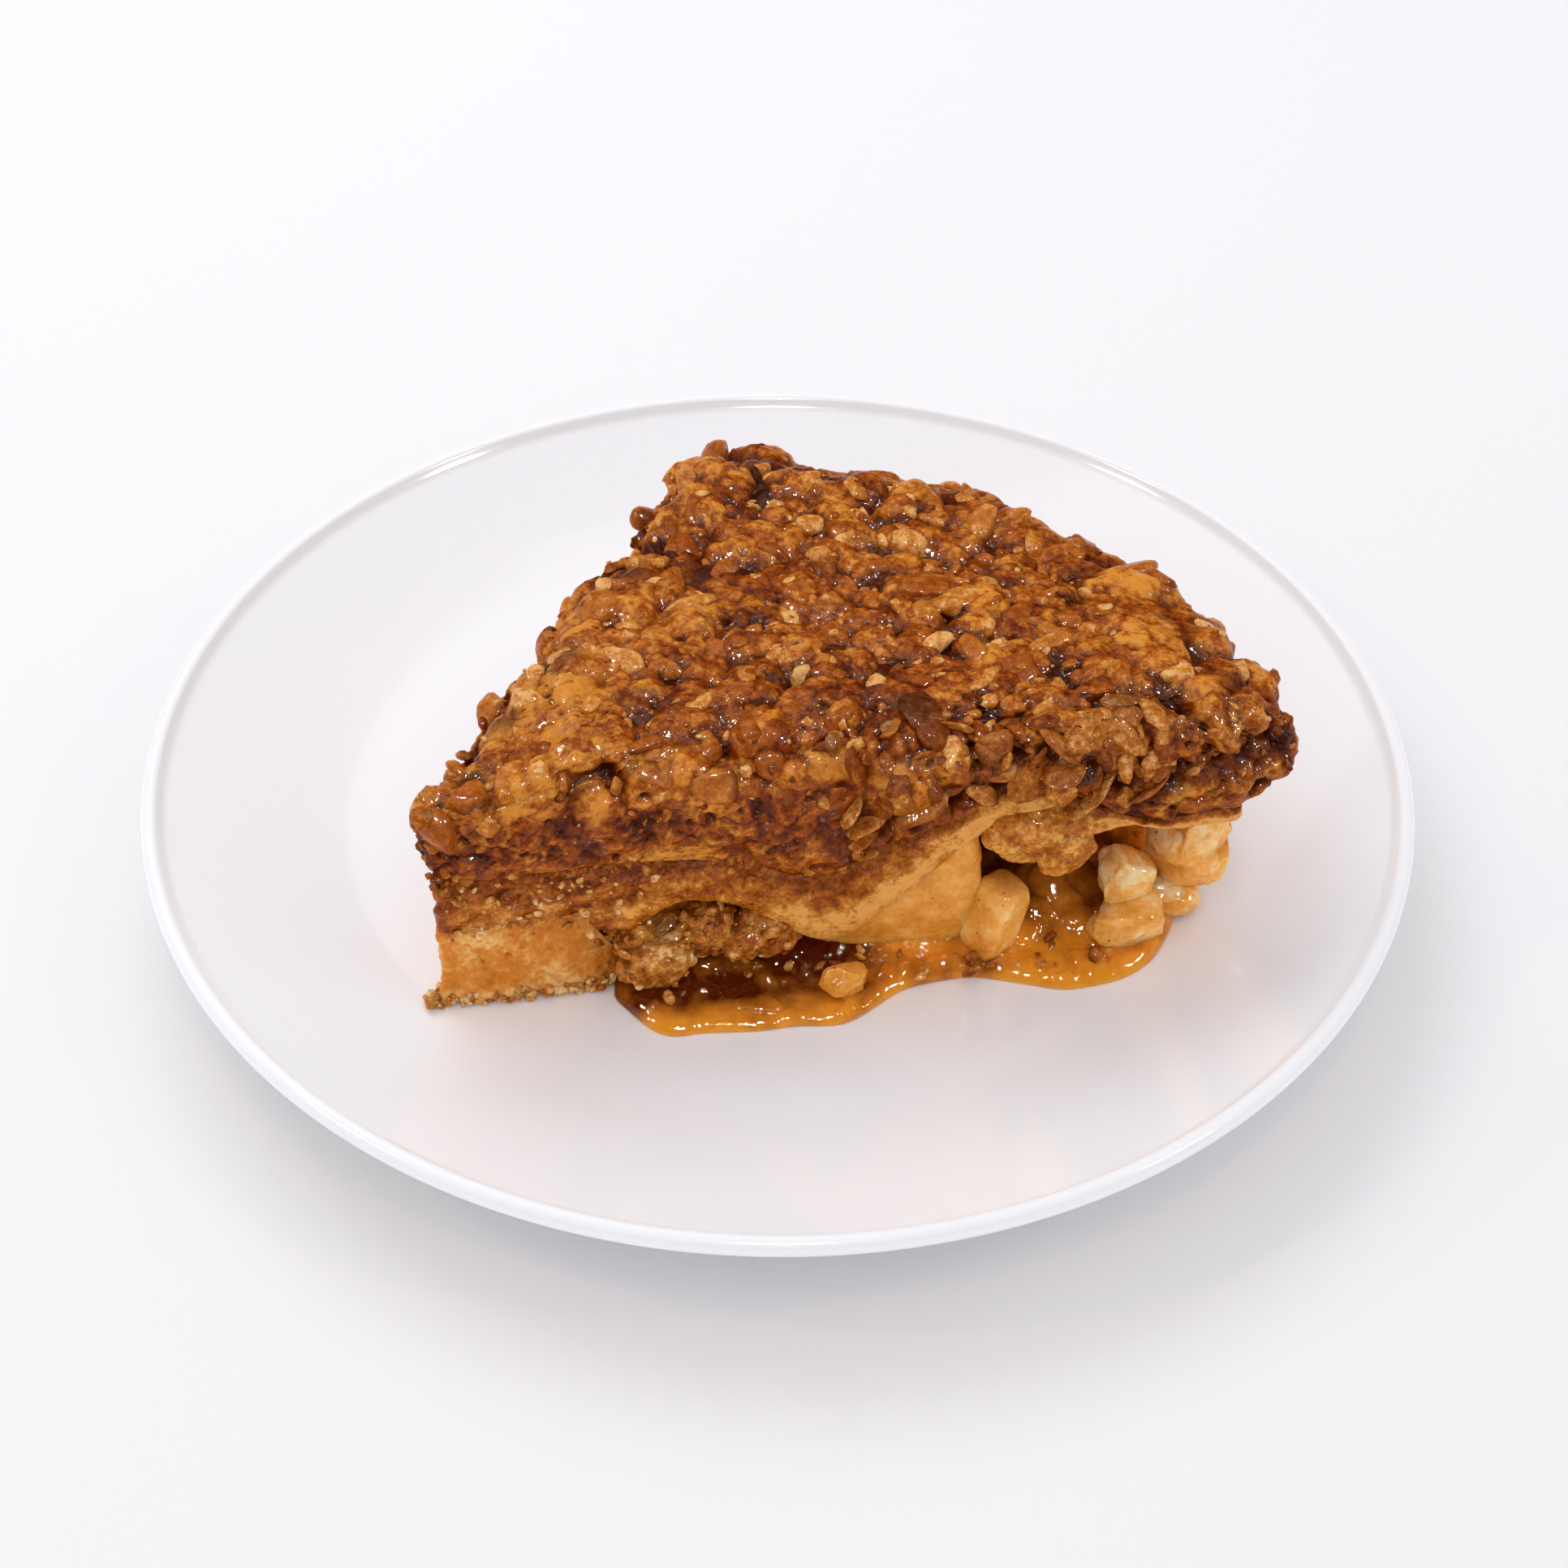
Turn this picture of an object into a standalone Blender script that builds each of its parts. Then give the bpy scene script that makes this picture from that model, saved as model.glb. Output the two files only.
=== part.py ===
"""A slice of deep apple pie under a caramelised nut topping, served on a white coupe plate.

The plate turns about Z and its foot ring stands on Z = 0. The slice is laid out in a frame of
its own: S runs along the front cut from the tip, W runs back from that cut, and Z is up. One
empty carries that frame, so every solid of the slice keeps its mesh in (S, W, Z).

Layers that lie on each other share one height function and keep GAP between them. Every
layer is a closed loft: rings that grow from the centre of its underside to its outline, climb
its side and shrink again to the centre of its upper face.
"""

import itertools
import math
import random

import bmesh
import bpy
import numpy as np
from mathutils import Euler, Vector

MM = 0.001
GAP = 0.35 * MM
TOUCH = 0.03 * MM
WELD = 0.02 * MM

# Plate: a coupe plate with a flat well, a rising wall and a rounded lip.
PLATE_RADIUS = 100 * MM
PLATE_HEIGHT = 20 * MM
LIP_RADIUS = 1.5 * MM
WELL_RADIUS = 66 * MM
WELL_LEVEL = 8.7 * MM
WALL_CURVE = 1.6
PLATE_THICKNESS = 3.4 * MM
FOOT_RADIUS = 54 * MM
FOOT_WIDTH = 4 * MM
FOOT_DRAFT = 1.2 * MM
PLATE_STEPS = 52
WALL_POINTS = 4

# Slice: two cuts that meet at the tip, and the round rim of the whole pie between them.
TIP = (-53 * MM, -47 * MM)
FRONT_TURN = math.radians(8.9)
WEDGE_ANGLE = math.radians(56)
PIE_RADIUS = 117.5 * MM
PIE_CENTRE = (18.5 * MM, -27 * MM)
MIDDLE = (74 * MM, 27 * MM)
CORNER_ROUNDING = 3.4 * MM
LOWER_ROUNDING = 1.5 * MM

# Heights of the layers above the table.
FLOOR_TOP = 12.6 * MM
TIP_BLOCK_TOP = 24.2 * MM
TIP_BLOCK_END = (24 * MM, 33 * MM)
PASTRY_BASE = 24.6 * MM
TOPPING_BASE = 33.6 * MM
TOPPING_TOP = 52 * MM

# How the layers rise and sag along the front cut: bells given as height, S and width in
# millimetres, which fade towards the back over a distance.
TOPPING_BELLS = ((-6.0, 60, 6), (9.5, 88, 9), (-1.2, 107, 5))
TOPPING_FADE = 17 * MM
PASTRY_BELLS = ((-4.0, 31, 3.6), (1.5, 43, 5), (-10.0, 62, 7), (12.6, 90, 8))
PASTRY_FADE = 15 * MM
PASTRY_RISE = 6.4 * MM
LOWER_SETBACK = (0.8 * MM, 5.0 * MM)
SETBACK_SPAN = (24 * MM, 37 * MM)

# Outer crust wall, which leans out as the tin did.
WALL_FOOT_RADIUS = 105 * MM
WALL_TOP_RADIUS = 110 * MM
WALL_THICKNESS = 4.5 * MM

# Front edge of the syrup that ran out on the plate, as (S, W).
POOL_EDGE = (
    (29 * MM, -3.5 * MM),
    (35 * MM, -10.5 * MM),
    (45 * MM, -11.3 * MM),
    (56 * MM, -11.9 * MM),
    (62.5 * MM, -12.6 * MM),
    (67.5 * MM, -9.0 * MM),
    (72 * MM, -5.4 * MM),
    (83 * MM, -4.6 * MM),
    (94 * MM, -9.3 * MM),
    (106 * MM, -8.4 * MM),
    (112 * MM, -4.0 * MM),
    (116 * MM, 1.5 * MM),
)
POOL_BACK = 4.6 * MM
POOL_DEPTH = 3.2 * MM
POOL_SAMPLES = (24, 13)

# Samples of a layer's outline: along the front cut, the rim and the left cut.
FINE_SAMPLES = (34, 26, 22)
COARSE_SAMPLES = (20, 13, 12)
PASTRY_SAMPLES = (34, 13, 12)
FILLING_SAMPLES = (17, 7, 9)
FILLING_START = 34.6 * MM

# Notches along the left cut: distance from the tip, width and depth in millimetres.
LEFT_NOTCHES = ((13, 6, 1.8), (38, 3, 4.4), (65, 3, 3.4))

# Torn pits in the topping's front cut: S, height and width in millimetres.
TORN_PITS = ((104, 38, 2.6), (108, 37, 2.2), (100, 46, 2.4), (117, 48, 2.6))
NUT_PIECES = 24

COLOURS = {
    "porcelain": ((0.86, 0.85, 0.86), 0.12),
    "pale_crust": ((0.62, 0.37, 0.13), 0.75),
    "soft_pastry": ((0.56, 0.28, 0.075), 0.6),
    "nut_topping": ((0.27, 0.115, 0.026), 0.4),
    "cooked_filling": ((0.30, 0.115, 0.018), 0.35),
    "apple_flesh": ((0.62, 0.31, 0.07), 0.35),
    "syrup": ((0.47, 0.165, 0.012), 0.12),
    "crumbled_pastry": ((0.50, 0.25, 0.075), 0.65),
}


def smoothstep(low, high, x):
    """Return 0 below low, 1 above high and an S-curve between them."""
    x = np.clip((x - low) / (high - low), 0.0, 1.0)
    return x * x * (3.0 - 2.0 * x)


def bump(x, centre, width):
    """Return a bell of height 1 at centre, whose standard deviation is width."""
    return np.exp(-0.5 * ((x - centre) / width) ** 2)


def scramble(cells, seed):
    """Turn whole-number cells of shape (..., 3) into repeatable numbers from 0 to 1."""
    cells = cells.astype(np.int64)
    mixed = cells[..., 0] * 374761393 + cells[..., 1] * 668265263
    mixed = (mixed + cells[..., 2] * 912271213 + seed * 1274126177) & 0xFFFFFFFF
    mixed = ((mixed ^ (mixed >> 13)) * 1274126177) & 0xFFFFFFFF
    mixed = ((mixed ^ (mixed >> 15)) * 668265263) & 0xFFFFFFFF
    return (mixed ^ (mixed >> 16)) / 4294967296.0


def domes(points, size, seed):
    """Return rounded bumps, 0 to 1 high, packed side by side about one size apart."""
    scaled = points / size
    home = np.floor(scaled)
    nearest = np.full(len(points), 9.0)
    for step in itertools.product((-1, 0, 1), repeat=3):
        cell = home + np.array(step)
        jitter = np.stack([scramble(cell, seed + k) for k in range(3)], axis=-1)
        centre = cell + 0.15 + 0.7 * jitter
        nearest = np.minimum(nearest, np.linalg.norm(scaled - centre, axis=1))
    return np.sqrt(np.clip(1.0 - (nearest / 0.85) ** 2, 0.0, 1.0))


def drift(points, size, seed):
    """Return smooth noise from -1 to 1, whose features are about one size wide."""
    scaled = points / size
    home = np.floor(scaled)
    blend = scaled - home
    blend = blend * blend * (3.0 - 2.0 * blend)
    total = np.zeros(len(points))
    for step in itertools.product((0, 1), repeat=3):
        weight = np.prod(np.where(np.array(step) == 1, blend, 1.0 - blend), axis=1)
        total += weight * scramble(home + np.array(step), seed)
    return total * 2.0 - 1.0


def plate_surface(radius):
    """Return the height of the plate's upper face at a distance from its axis."""
    rise = np.clip((radius - WELL_RADIUS) / (PLATE_RADIUS - 2 * LIP_RADIUS - WELL_RADIUS), 0, 1)
    return WELL_LEVEL + (PLATE_HEIGHT - LIP_RADIUS - WELL_LEVEL) * rise**WALL_CURVE


def food_floor(s, w):
    """Return the lowest height that food may reach over the plate at (S, W)."""
    x = TIP[0] + s * math.cos(FRONT_TURN) - w * math.sin(FRONT_TURN)
    y = TIP[1] + s * math.sin(FRONT_TURN) + w * math.cos(FRONT_TURN)
    return plate_surface(np.hypot(x, y)) + GAP


def ripple(s, w):
    """Return the slow unevenness that all the layers share."""
    across = np.sin(2 * math.pi * (s + 0.6 * w) / (47 * MM) + 0.9)
    back = np.sin(2 * math.pi * (w - 0.3 * s) / (39 * MM))
    return 0.7 * MM * across * back


def front_bells(s, w, bells, fade):
    """Return the sum of bells along the front cut, fading towards the back."""
    total = sum(height * MM * bump(s, at * MM, width * MM) for height, at, width in bells)
    return total * np.exp(-np.maximum(w, 0) / fade)


def topping_base(s, w):
    """Return the underside of the nut topping: it sags at the front, then arches high."""
    return TOPPING_BASE + front_bells(s, w, TOPPING_BELLS, TOPPING_FADE) + ripple(s, w)


def pastry_base(s, w):
    """Return the underside of the soft pastry layer, which rises at the right and the rim."""
    front = front_bells(s, w, PASTRY_BELLS, PASTRY_FADE)
    right = smoothstep(98 * MM, 108 * MM, s)
    reach = np.hypot(s - PIE_CENTRE[0], w - PIE_CENTRE[1])
    rim = smoothstep(WALL_FOOT_RADIUS - 14 * MM, WALL_FOOT_RADIUS - 3 * MM, reach)
    return PASTRY_BASE + front + PASTRY_RISE * np.maximum(right, rim) + ripple(s, w)


def crust_top(s, w):
    """Return the upper face of the crust: a solid block at the tip, then a thin floor."""
    block = 1.0 - smoothstep(TIP_BLOCK_END[0], TIP_BLOCK_END[1], np.hypot(s, w))
    dip = np.minimum(pastry_base(s, w) - PASTRY_BASE, 0.0) * block
    return FLOOR_TOP + (TIP_BLOCK_TOP - FLOOR_TOP) * block + dip + ripple(s, w) * block


def topping_top(s, w):
    """Return the mean height of the topping's upper face, lower at the tip."""
    tip = -4.0 * MM * (1.0 - smoothstep(0.0, 38 * MM, s))
    swell = 2.2 * MM * bump(s, 100 * MM, 22 * MM) * np.exp(-np.maximum(w, 0) / (40 * MM))
    back = -1.5 * MM * smoothstep(45 * MM, 85 * MM, w)
    return TOPPING_TOP + tip + swell + back + 1.6 * ripple(s, w)


def lower_front(s):
    """Return how far the crust and the filling lie behind the front cut."""
    near, far = LOWER_SETBACK
    return near + (far - near) * smoothstep(SETBACK_SPAN[0], SETBACK_SPAN[1], s)


def smooth_ring(ring, width):
    """Round a closed ring's corners with a moving average about width wide."""
    step = np.linalg.norm(np.roll(ring, -1, axis=0) - ring, axis=1).mean()
    sigma = max(width / step, 0.05)
    reach = int(math.ceil(3 * sigma))
    offsets = np.arange(-reach, reach + 1)
    weights = np.exp(-0.5 * (offsets / sigma) ** 2)
    weights /= weights.sum()
    return sum(k * np.roll(ring, -o, axis=0) for k, o in zip(weights, offsets))


def wedge(samples, radius, front_inset, left_inset, rounding):
    """Return a wedge outline in (S, W), counter-clockwise from the tip, and a rim mask.

    front_inset may be a number or a function of S. The mask is 1 along the rim.
    """
    inset = front_inset if callable(front_inset) else (lambda s: s * 0 + front_inset)
    along_left = np.array((math.cos(WEDGE_ANGLE), math.sin(WEDGE_ANGLE)))
    into_left = np.array((along_left[1], -along_left[0]))
    centre = np.array(PIE_CENTRE)
    tip_w = float(inset(np.zeros(1))[0])
    tip = np.array(((left_inset + tip_w * along_left[0]) / along_left[1], tip_w))
    right_w = float(inset(np.array([radius]))[0])
    right_s = centre[0] + math.sqrt(radius**2 - (right_w - centre[1]) ** 2)
    # The left cut crosses the rim circle where a step along it reaches that circle.
    begin = into_left * left_inset - centre
    half = begin @ along_left
    left_reach = -half + math.sqrt(half**2 - begin @ begin + radius**2)
    corner = into_left * left_inset + along_left * left_reach
    front_s = np.linspace(tip[0], right_s, samples[0], endpoint=False)
    front = np.stack([front_s, inset(front_s)], axis=1)
    first = math.atan2(right_w - centre[1], right_s - centre[0])
    last = math.atan2(corner[1] - centre[1], corner[0] - centre[0])
    turn = np.linspace(first, last, samples[1], endpoint=False)
    rim = centre + radius * np.stack([np.cos(turn), np.sin(turn)], axis=1)
    left = np.linspace(corner, tip, samples[2], endpoint=False)
    ring = np.vstack([front, rim, left])
    mask = np.zeros(len(ring))
    mask[samples[0] : samples[0] + samples[1]] = 1.0
    return smooth_ring(ring, rounding), smooth_ring(mask[:, None], rounding)[:, 0]


def outward(ring):
    """Return unit vectors in the plane that point out of a counter-clockwise ring."""
    along = np.roll(ring, -1, axis=0) - np.roll(ring, 1, axis=0)
    along /= np.linalg.norm(along, axis=1, keepdims=True)
    return np.stack([along[:, 1], -along[:, 0]], axis=1)


def toward(ring, share, centre=MIDDLE):
    """Return a ring shrunk towards the centre to the given share of its size."""
    centre = np.array(centre)
    return centre + (ring - centre) * np.reshape(share, (-1, 1))


def lift(ring, height):
    """Add heights to a flat ring: a number, an array or a function of (S, W)."""
    if callable(height):
        height = height(ring[:, 0], ring[:, 1])
    return np.column_stack([ring, np.broadcast_to(height, len(ring))])


def surface_normals(grid):
    """Return unit normals at the points of a closed loft, shaped (rings, points, 3)."""
    around = np.roll(grid, -1, axis=1) - np.roll(grid, 1, axis=1)
    upward = np.gradient(grid, axis=0)
    normal = np.cross(around, upward)
    return normal / np.maximum(np.linalg.norm(normal, axis=2, keepdims=True), 1e-12)


def material(name):
    """Make or reuse a Principled material from COLOURS."""
    found = bpy.data.materials.get(name)
    if found:
        return found
    colour, roughness = COLOURS[name]
    made = bpy.data.materials.new(name)
    made.use_nodes = True
    shader = made.node_tree.nodes["Principled BSDF"]
    shader.inputs["Base Color"].default_value = (*colour, 1.0)
    shader.inputs["Roughness"].default_value = roughness
    shader.inputs["Metallic"].default_value = 0.0
    made.diffuse_color = (*colour, 1.0)
    return made


def mesh_object(name, mesh, finish, collection, parent=None):
    """Link an object for a mesh, with its material and its parent."""
    item = bpy.data.objects.new(name, mesh)
    mesh.materials.clear()
    mesh.materials.append(material(finish))
    collection.objects.link(item)
    item.parent = parent
    return item


def loft(name, grid, faces_of, finish, collection, parent):
    """Close rings, ordered from the underside to the upper face, into a solid.

    faces_of holds the height functions of the two faces, which close at MIDDLE, or is None
    where they close at the mean of the end rings. The faces are triangles, so that a cutter
    made from the solid follows it exactly.
    """
    rings, points = grid.shape[:2]
    poles = [grid[0].mean(axis=0), grid[-1].mean(axis=0)]
    if faces_of:
        poles = [lift(np.array([MIDDLE]), height) for height in faces_of]
    verts = np.vstack([grid.reshape(-1, 3), *poles])
    low, high = rings * points, rings * points + 1
    faces = []
    for i in range(points):
        j = (i + 1) % points
        faces.append((low, j, i))
        faces.append((high, (rings - 1) * points + i, (rings - 1) * points + j))
        for k in range(0, (rings - 1) * points, points):
            faces.append((k + i, k + j, k + points + j, k + points + i))
    mesh = bpy.data.meshes.new(name)
    mesh.from_pydata(verts.tolist(), [], faces)
    mesh.validate()
    form = bmesh.new()
    form.from_mesh(mesh)
    bmesh.ops.triangulate(form, faces=form.faces)
    form.to_mesh(mesh)
    form.free()
    mesh.shade_smooth()
    return mesh_object(name, mesh, finish, collection, parent)


def lump(name, centre, size, finish, collection, parent, **shape):
    """Make a rounded block of food: a sphere pushed towards a box, then made uneven.

    shape may hold turn (degrees about S, W and Z), boxy (0 for an ellipsoid, near 1 for a
    box), detail (icosphere subdivisions), rough (unevenness as a share of the size), seed,
    and ceiling or floor, functions of (S, W) that the block stays between.
    """
    form = bmesh.new()
    bmesh.ops.create_icosphere(form, subdivisions=shape.get("detail", 3), radius=1.0)
    points = np.array([v.co[:] for v in form.verts])
    power = 1.0 - 0.62 * shape.get("boxy", 0.5)
    points = np.sign(points) * np.abs(points) ** power
    points /= np.linalg.norm(points, ord=2 / power, axis=1, keepdims=True)
    seed = shape.get("seed", 1)
    uneven = drift(points + 7.3 * seed, 0.9, seed) + 0.5 * drift(points, 0.45, seed + 5)
    points *= 1.0 + shape.get("rough", 0.1) * uneven[:, None]
    points *= 0.5 * np.array(size)
    turn = Euler([math.radians(a) for a in shape.get("turn", (0, 0, 0))]).to_matrix()
    points = points @ np.array(turn).T + np.array(centre)
    if "ceiling" in shape:
        limit = shape["ceiling"](points[:, 0], points[:, 1]) - 2 * GAP
        points[:, 2] = np.minimum(points[:, 2], limit)
    limit = shape.get("floor", food_floor)(points[:, 0], points[:, 1])
    points[:, 2] = np.maximum(points[:, 2], limit + 0.05 * MM)
    for vertex, place in zip(form.verts, points):
        vertex.co = Vector(place)
    mesh = bpy.data.meshes.new(name)
    form.to_mesh(mesh)
    form.free()
    mesh.shade_smooth()
    return mesh_object(name, mesh, finish, collection, parent)


def grown(item, margin, collection):
    """Return a cutter: a copy of an object swollen by a margin along its normals."""
    form = bmesh.new()
    form.from_mesh(item.data)
    form.normal_update()
    pushed = [v.co + v.normal * margin for v in form.verts]
    for vertex, place in zip(form.verts, pushed):
        vertex.co = place
    mesh = bpy.data.meshes.new(item.name + "_cutter")
    form.to_mesh(mesh)
    form.free()
    cutter = bpy.data.objects.new(item.name + "_cutter", mesh)
    cutter.parent = item.parent
    cutter.hide_render = True
    cutter.display_type = "WIRE"
    collection.objects.link(cutter)
    return cutter


def tip_cutter(radius, collection, parent):
    """Return an upright cylinder round the tip, which keeps the filling off the tip block."""
    bpy.ops.mesh.primitive_cylinder_add(vertices=48, radius=radius, depth=0.1)
    cutter = bpy.context.active_object
    cutter.name = "tip_cutter"
    for holder in list(cutter.users_collection):
        holder.objects.unlink(cutter)
    collection.objects.link(cutter)
    cutter.parent = parent
    cutter.hide_render = True
    cutter.display_type = "WIRE"
    return cutter


def largest_body(mesh):
    """Weld a mesh, drop its folded films of no thickness and keep its largest body."""
    form = bmesh.new()
    form.from_mesh(mesh)
    bmesh.ops.remove_doubles(form, verts=form.verts, dist=WELD)
    bmesh.ops.triangulate(form, faces=form.faces)
    films = True
    while films:
        facing = {}
        for face in form.faces:
            facing.setdefault(frozenset(face.verts), []).append(face)
        films = [face for faces in facing.values() if len(faces) > 1 for face in faces]
        bmesh.ops.delete(form, geom=films, context="FACES")
    unseen = set(form.faces)
    bodies = []
    while unseen:
        body = {unseen.pop()}
        front = list(body)
        while front:
            reached = {f for face in front for e in face.edges for f in e.link_faces} & unseen
            unseen -= reached
            body |= reached
            front = list(reached)
        bodies.append(body)
    keep = max(bodies, key=len)
    bmesh.ops.delete(form, geom=[f for f in form.faces if f not in keep], context="FACES")
    form.to_mesh(mesh)
    form.free()


def combine(item, others, operation):
    """Join objects to an item or cut them from it, apply that and remove the others."""
    group = bpy.data.collections.new(item.name + "_operands")
    bpy.context.scene.collection.children.link(group)
    for other in others:
        for holder in list(other.users_collection):
            holder.objects.unlink(other)
        group.objects.link(other)
    boolean = item.modifiers.new(operation.lower(), "BOOLEAN")
    boolean.operation = operation
    boolean.solver = "MANIFOLD"
    boolean.operand_type = "COLLECTION"
    boolean.collection = group
    bpy.context.view_layer.update()
    evaluated = item.evaluated_get(bpy.context.evaluated_depsgraph_get())
    result = bpy.data.meshes.new_from_object(evaluated)
    item.modifiers.clear()
    item.data = result
    finish = result.materials[0]
    result.materials.clear()
    result.materials.append(finish)
    result.polygons.foreach_set("material_index", [0] * len(result.polygons))
    for other in others:
        bpy.data.objects.remove(other)
    bpy.data.collections.remove(group)
    largest_body(result)
    result.shade_smooth()
    return item


def make_plate(collection):
    """Turn the plate: well, wall, lip and foot ring as one profile about Z."""
    wall_end = PLATE_RADIUS - 2 * LIP_RADIUS
    top = [(0.0, WELL_LEVEL)]
    for i in range(WALL_POINTS + 1):
        radius = WELL_RADIUS + (wall_end - WELL_RADIUS) * i / WALL_POINTS
        top.append((radius, float(plate_surface(radius))))
    lip_middle = (PLATE_RADIUS - LIP_RADIUS, PLATE_HEIGHT - LIP_RADIUS)
    lip = [
        (
            lip_middle[0] + LIP_RADIUS * math.cos(math.radians(angle)),
            lip_middle[1] + LIP_RADIUS * math.sin(math.radians(angle)),
        )
        for angle in (135, 90, 45, 0, -45)
    ]
    foot_outer = FOOT_RADIUS + FOOT_WIDTH / 2
    foot_inner = FOOT_RADIUS - FOOT_WIDTH / 2
    under = []
    for share in (0.8, 0.3):
        radius = WELL_RADIUS + (wall_end - WELL_RADIUS) * share
        thickness = PLATE_THICKNESS * (1.0 - 0.25 * share)
        under.append((radius, float(plate_surface(radius)) - thickness))
    underside = WELL_LEVEL - PLATE_THICKNESS
    foot = [
        (foot_outer + 2 * FOOT_DRAFT, underside - 0.6 * MM),
        (foot_outer, 0.4 * MM),
        (foot_outer - 0.6 * MM, 0.0),
        (foot_inner + 0.6 * MM, 0.0),
        (foot_inner, 0.4 * MM),
        (foot_inner - FOOT_DRAFT, underside),
        (0.0, underside),
    ]
    profile = top + lip + under + foot
    mesh = bpy.data.meshes.new("plate")
    edges = [(i, i + 1) for i in range(len(profile) - 1)]
    mesh.from_pydata([(r, 0.0, z) for r, z in profile], edges, [])
    plate = mesh_object("plate", mesh, "porcelain", collection)
    screw = plate.modifiers.new("turn", "SCREW")
    screw.axis = "Z"
    screw.steps = PLATE_STEPS
    screw.render_steps = PLATE_STEPS
    screw.use_merge_vertices = True
    screw.merge_threshold = 0.01 * MM
    screw.use_smooth_shade = True
    return plate


def make_crust(collection, parent):
    """Loft the crust: tip block, thin floor and the leaning wall along the rim."""
    ring, rim = wedge(COARSE_SAMPLES, WALL_FOOT_RADIUS, lower_front, 2.0 * MM, LOWER_ROUNDING)
    away = outward(ring)
    wall = smoothstep(0.55, 1.0, rim)
    lean = (WALL_TOP_RADIUS - WALL_FOOT_RADIUS) * wall

    def upper(flat, share):
        low = crust_top(flat[:, 0], flat[:, 1])
        wall_top = pastry_base(flat[:, 0], flat[:, 1]) - GAP
        return low + (wall_top - low) * wall * share

    rings = [lift(toward(ring, f), food_floor) for f in (0.88,)]
    # The cut edge is scalloped at the foot, where the crust crumbles on to the plate.
    scallop = drift(lift(ring, 0.0), 4.5 * MM, 3) * 0.7 * MM
    for share in (0.0, 0.3, 0.65, 1.0):
        flat = ring + away * (lean * share + scallop * (1.0 - share))[:, None]
        base = food_floor(flat[:, 0], flat[:, 1])
        rings.append(lift(flat, base + (upper(flat, 1.0) - 0.3 * MM - base) * share))
    reach = np.linalg.norm(ring - np.array(MIDDLE), axis=1)
    for inset, share in ((0.5 * MM, 1.0), (WALL_THICKNESS, 1.0), (WALL_THICKNESS + 2 * MM, 0.0)):
        flat = toward(ring, 1.0 - (inset - lean * (0.3 + 0.7 * share)) / reach)
        rings.append(lift(flat, upper(flat, share)))
    inner = rings[-1][:, :2]
    rings += [lift(toward(inner, f), crust_top) for f in (0.8, 0.45)]
    faces_of = (food_floor, crust_top)
    return loft("crust", np.array(rings), faces_of, "pale_crust", collection, parent)


def make_filling(collection, parent):
    """Loft the cooked filling, with the deep hollow that the syrup ran out of.

    It starts inside the crust floor and ends inside the pastry layer, which are cut away.
    """
    inner_radius = WALL_FOOT_RADIUS - WALL_THICKNESS - 1.6 * MM

    def front_inset(s):
        return lower_front(s) + 0.6 * MM

    ring, rim = wedge(FILLING_SAMPLES, inner_radius, front_inset, 2.6 * MM, LOWER_ROUNDING)
    away = outward(ring)
    front = 1.0 - smoothstep(6 * MM, 10 * MM, ring[:, 1])
    hollow = 15 * MM * bump(ring[:, 0], 94 * MM, 8 * MM) * front

    def base(s, w):
        return food_floor(s, w) + 1.2 * MM

    def top(s, w):
        return pastry_base(s, w) + 1.0 * MM

    rings = [lift(toward(ring, 0.5), base)]
    for share in (0.0, 0.25, 0.5, 0.75, 1.0):
        arch = math.sin(math.pi * share)
        flat = ring + np.column_stack([0 * hollow, hollow * arch])
        points = lift(flat, 0.0)
        low, high = base(flat[:, 0], flat[:, 1]), top(flat[:, 0], flat[:, 1])
        points[:, 2] = low + (high - low) * share
        relief = (domes(points, 9 * MM, 21) - 0.6) * 2.2 * MM * arch * (1.0 - rim)
        points[:, :2] += away * relief[:, None]
        rings.append(points)
    rings.append(lift(toward(ring, 0.5), top))
    faces_of = (base, top)
    return loft("apple_filling", np.array(rings), faces_of, "cooked_filling", collection, parent)


def make_pastry(collection, parent):
    """Loft the soft pastry layer and fuse on the torn flap that hangs in the hollow."""
    ring, rim = wedge(
        PASTRY_SAMPLES, WALL_TOP_RADIUS + 0.4 * MM, 0.9 * MM, 1.4 * MM, CORNER_ROUNDING
    )
    away = outward(ring)

    def top(s, w):
        return topping_base(s, w) - GAP

    rings = [lift(toward(ring, f), pastry_base) for f in (0.5, 0.84)]
    for share in (0.0, 0.2, 0.5, 0.8, 1.0):
        points = lift(ring, 0.0)
        low = pastry_base(ring[:, 0], ring[:, 1])
        high = top(ring[:, 0], ring[:, 1])
        points[:, 2] = low + (high - low) * share
        swell = math.sin(math.pi * share**0.7)
        belly = (high - low) * 0.14 * (1.0 - rim) + drift(points, 6 * MM, 31) * 0.7 * MM
        points[:, :2] += away * (belly * swell - 0.6 * MM * (share == 0.0))[:, None]
        rings.append(points)
    rings += [lift(toward(ring, f), top) for f in (0.84, 0.5)]
    faces_of = (pastry_base, top)
    pastry = loft("soft_pastry", np.array(rings), faces_of, "soft_pastry", collection, parent)
    flaps = (
        ((93 * MM, 2.5 * MM, 33 * MM), (15 * MM, 9 * MM, 9 * MM), (0, 12, 0), 41),
        ((96.5 * MM, 1.5 * MM, 29.5 * MM), (8 * MM, 7 * MM, 8 * MM), (20, -25, 0), 42),
        ((90.5 * MM, 1.6 * MM, 30.5 * MM), (6 * MM, 6 * MM, 6 * MM), (0, 30, 10), 43),
    )
    pieces = [
        lump(
            f"flap_{i}", place, size, "soft_pastry", collection, parent,
            turn=turn, seed=seed, rough=0.14, detail=2, ceiling=topping_base,
        )
        for i, (place, size, turn, seed) in enumerate(flaps)
    ]
    return combine(pastry, pieces, "UNION")


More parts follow.
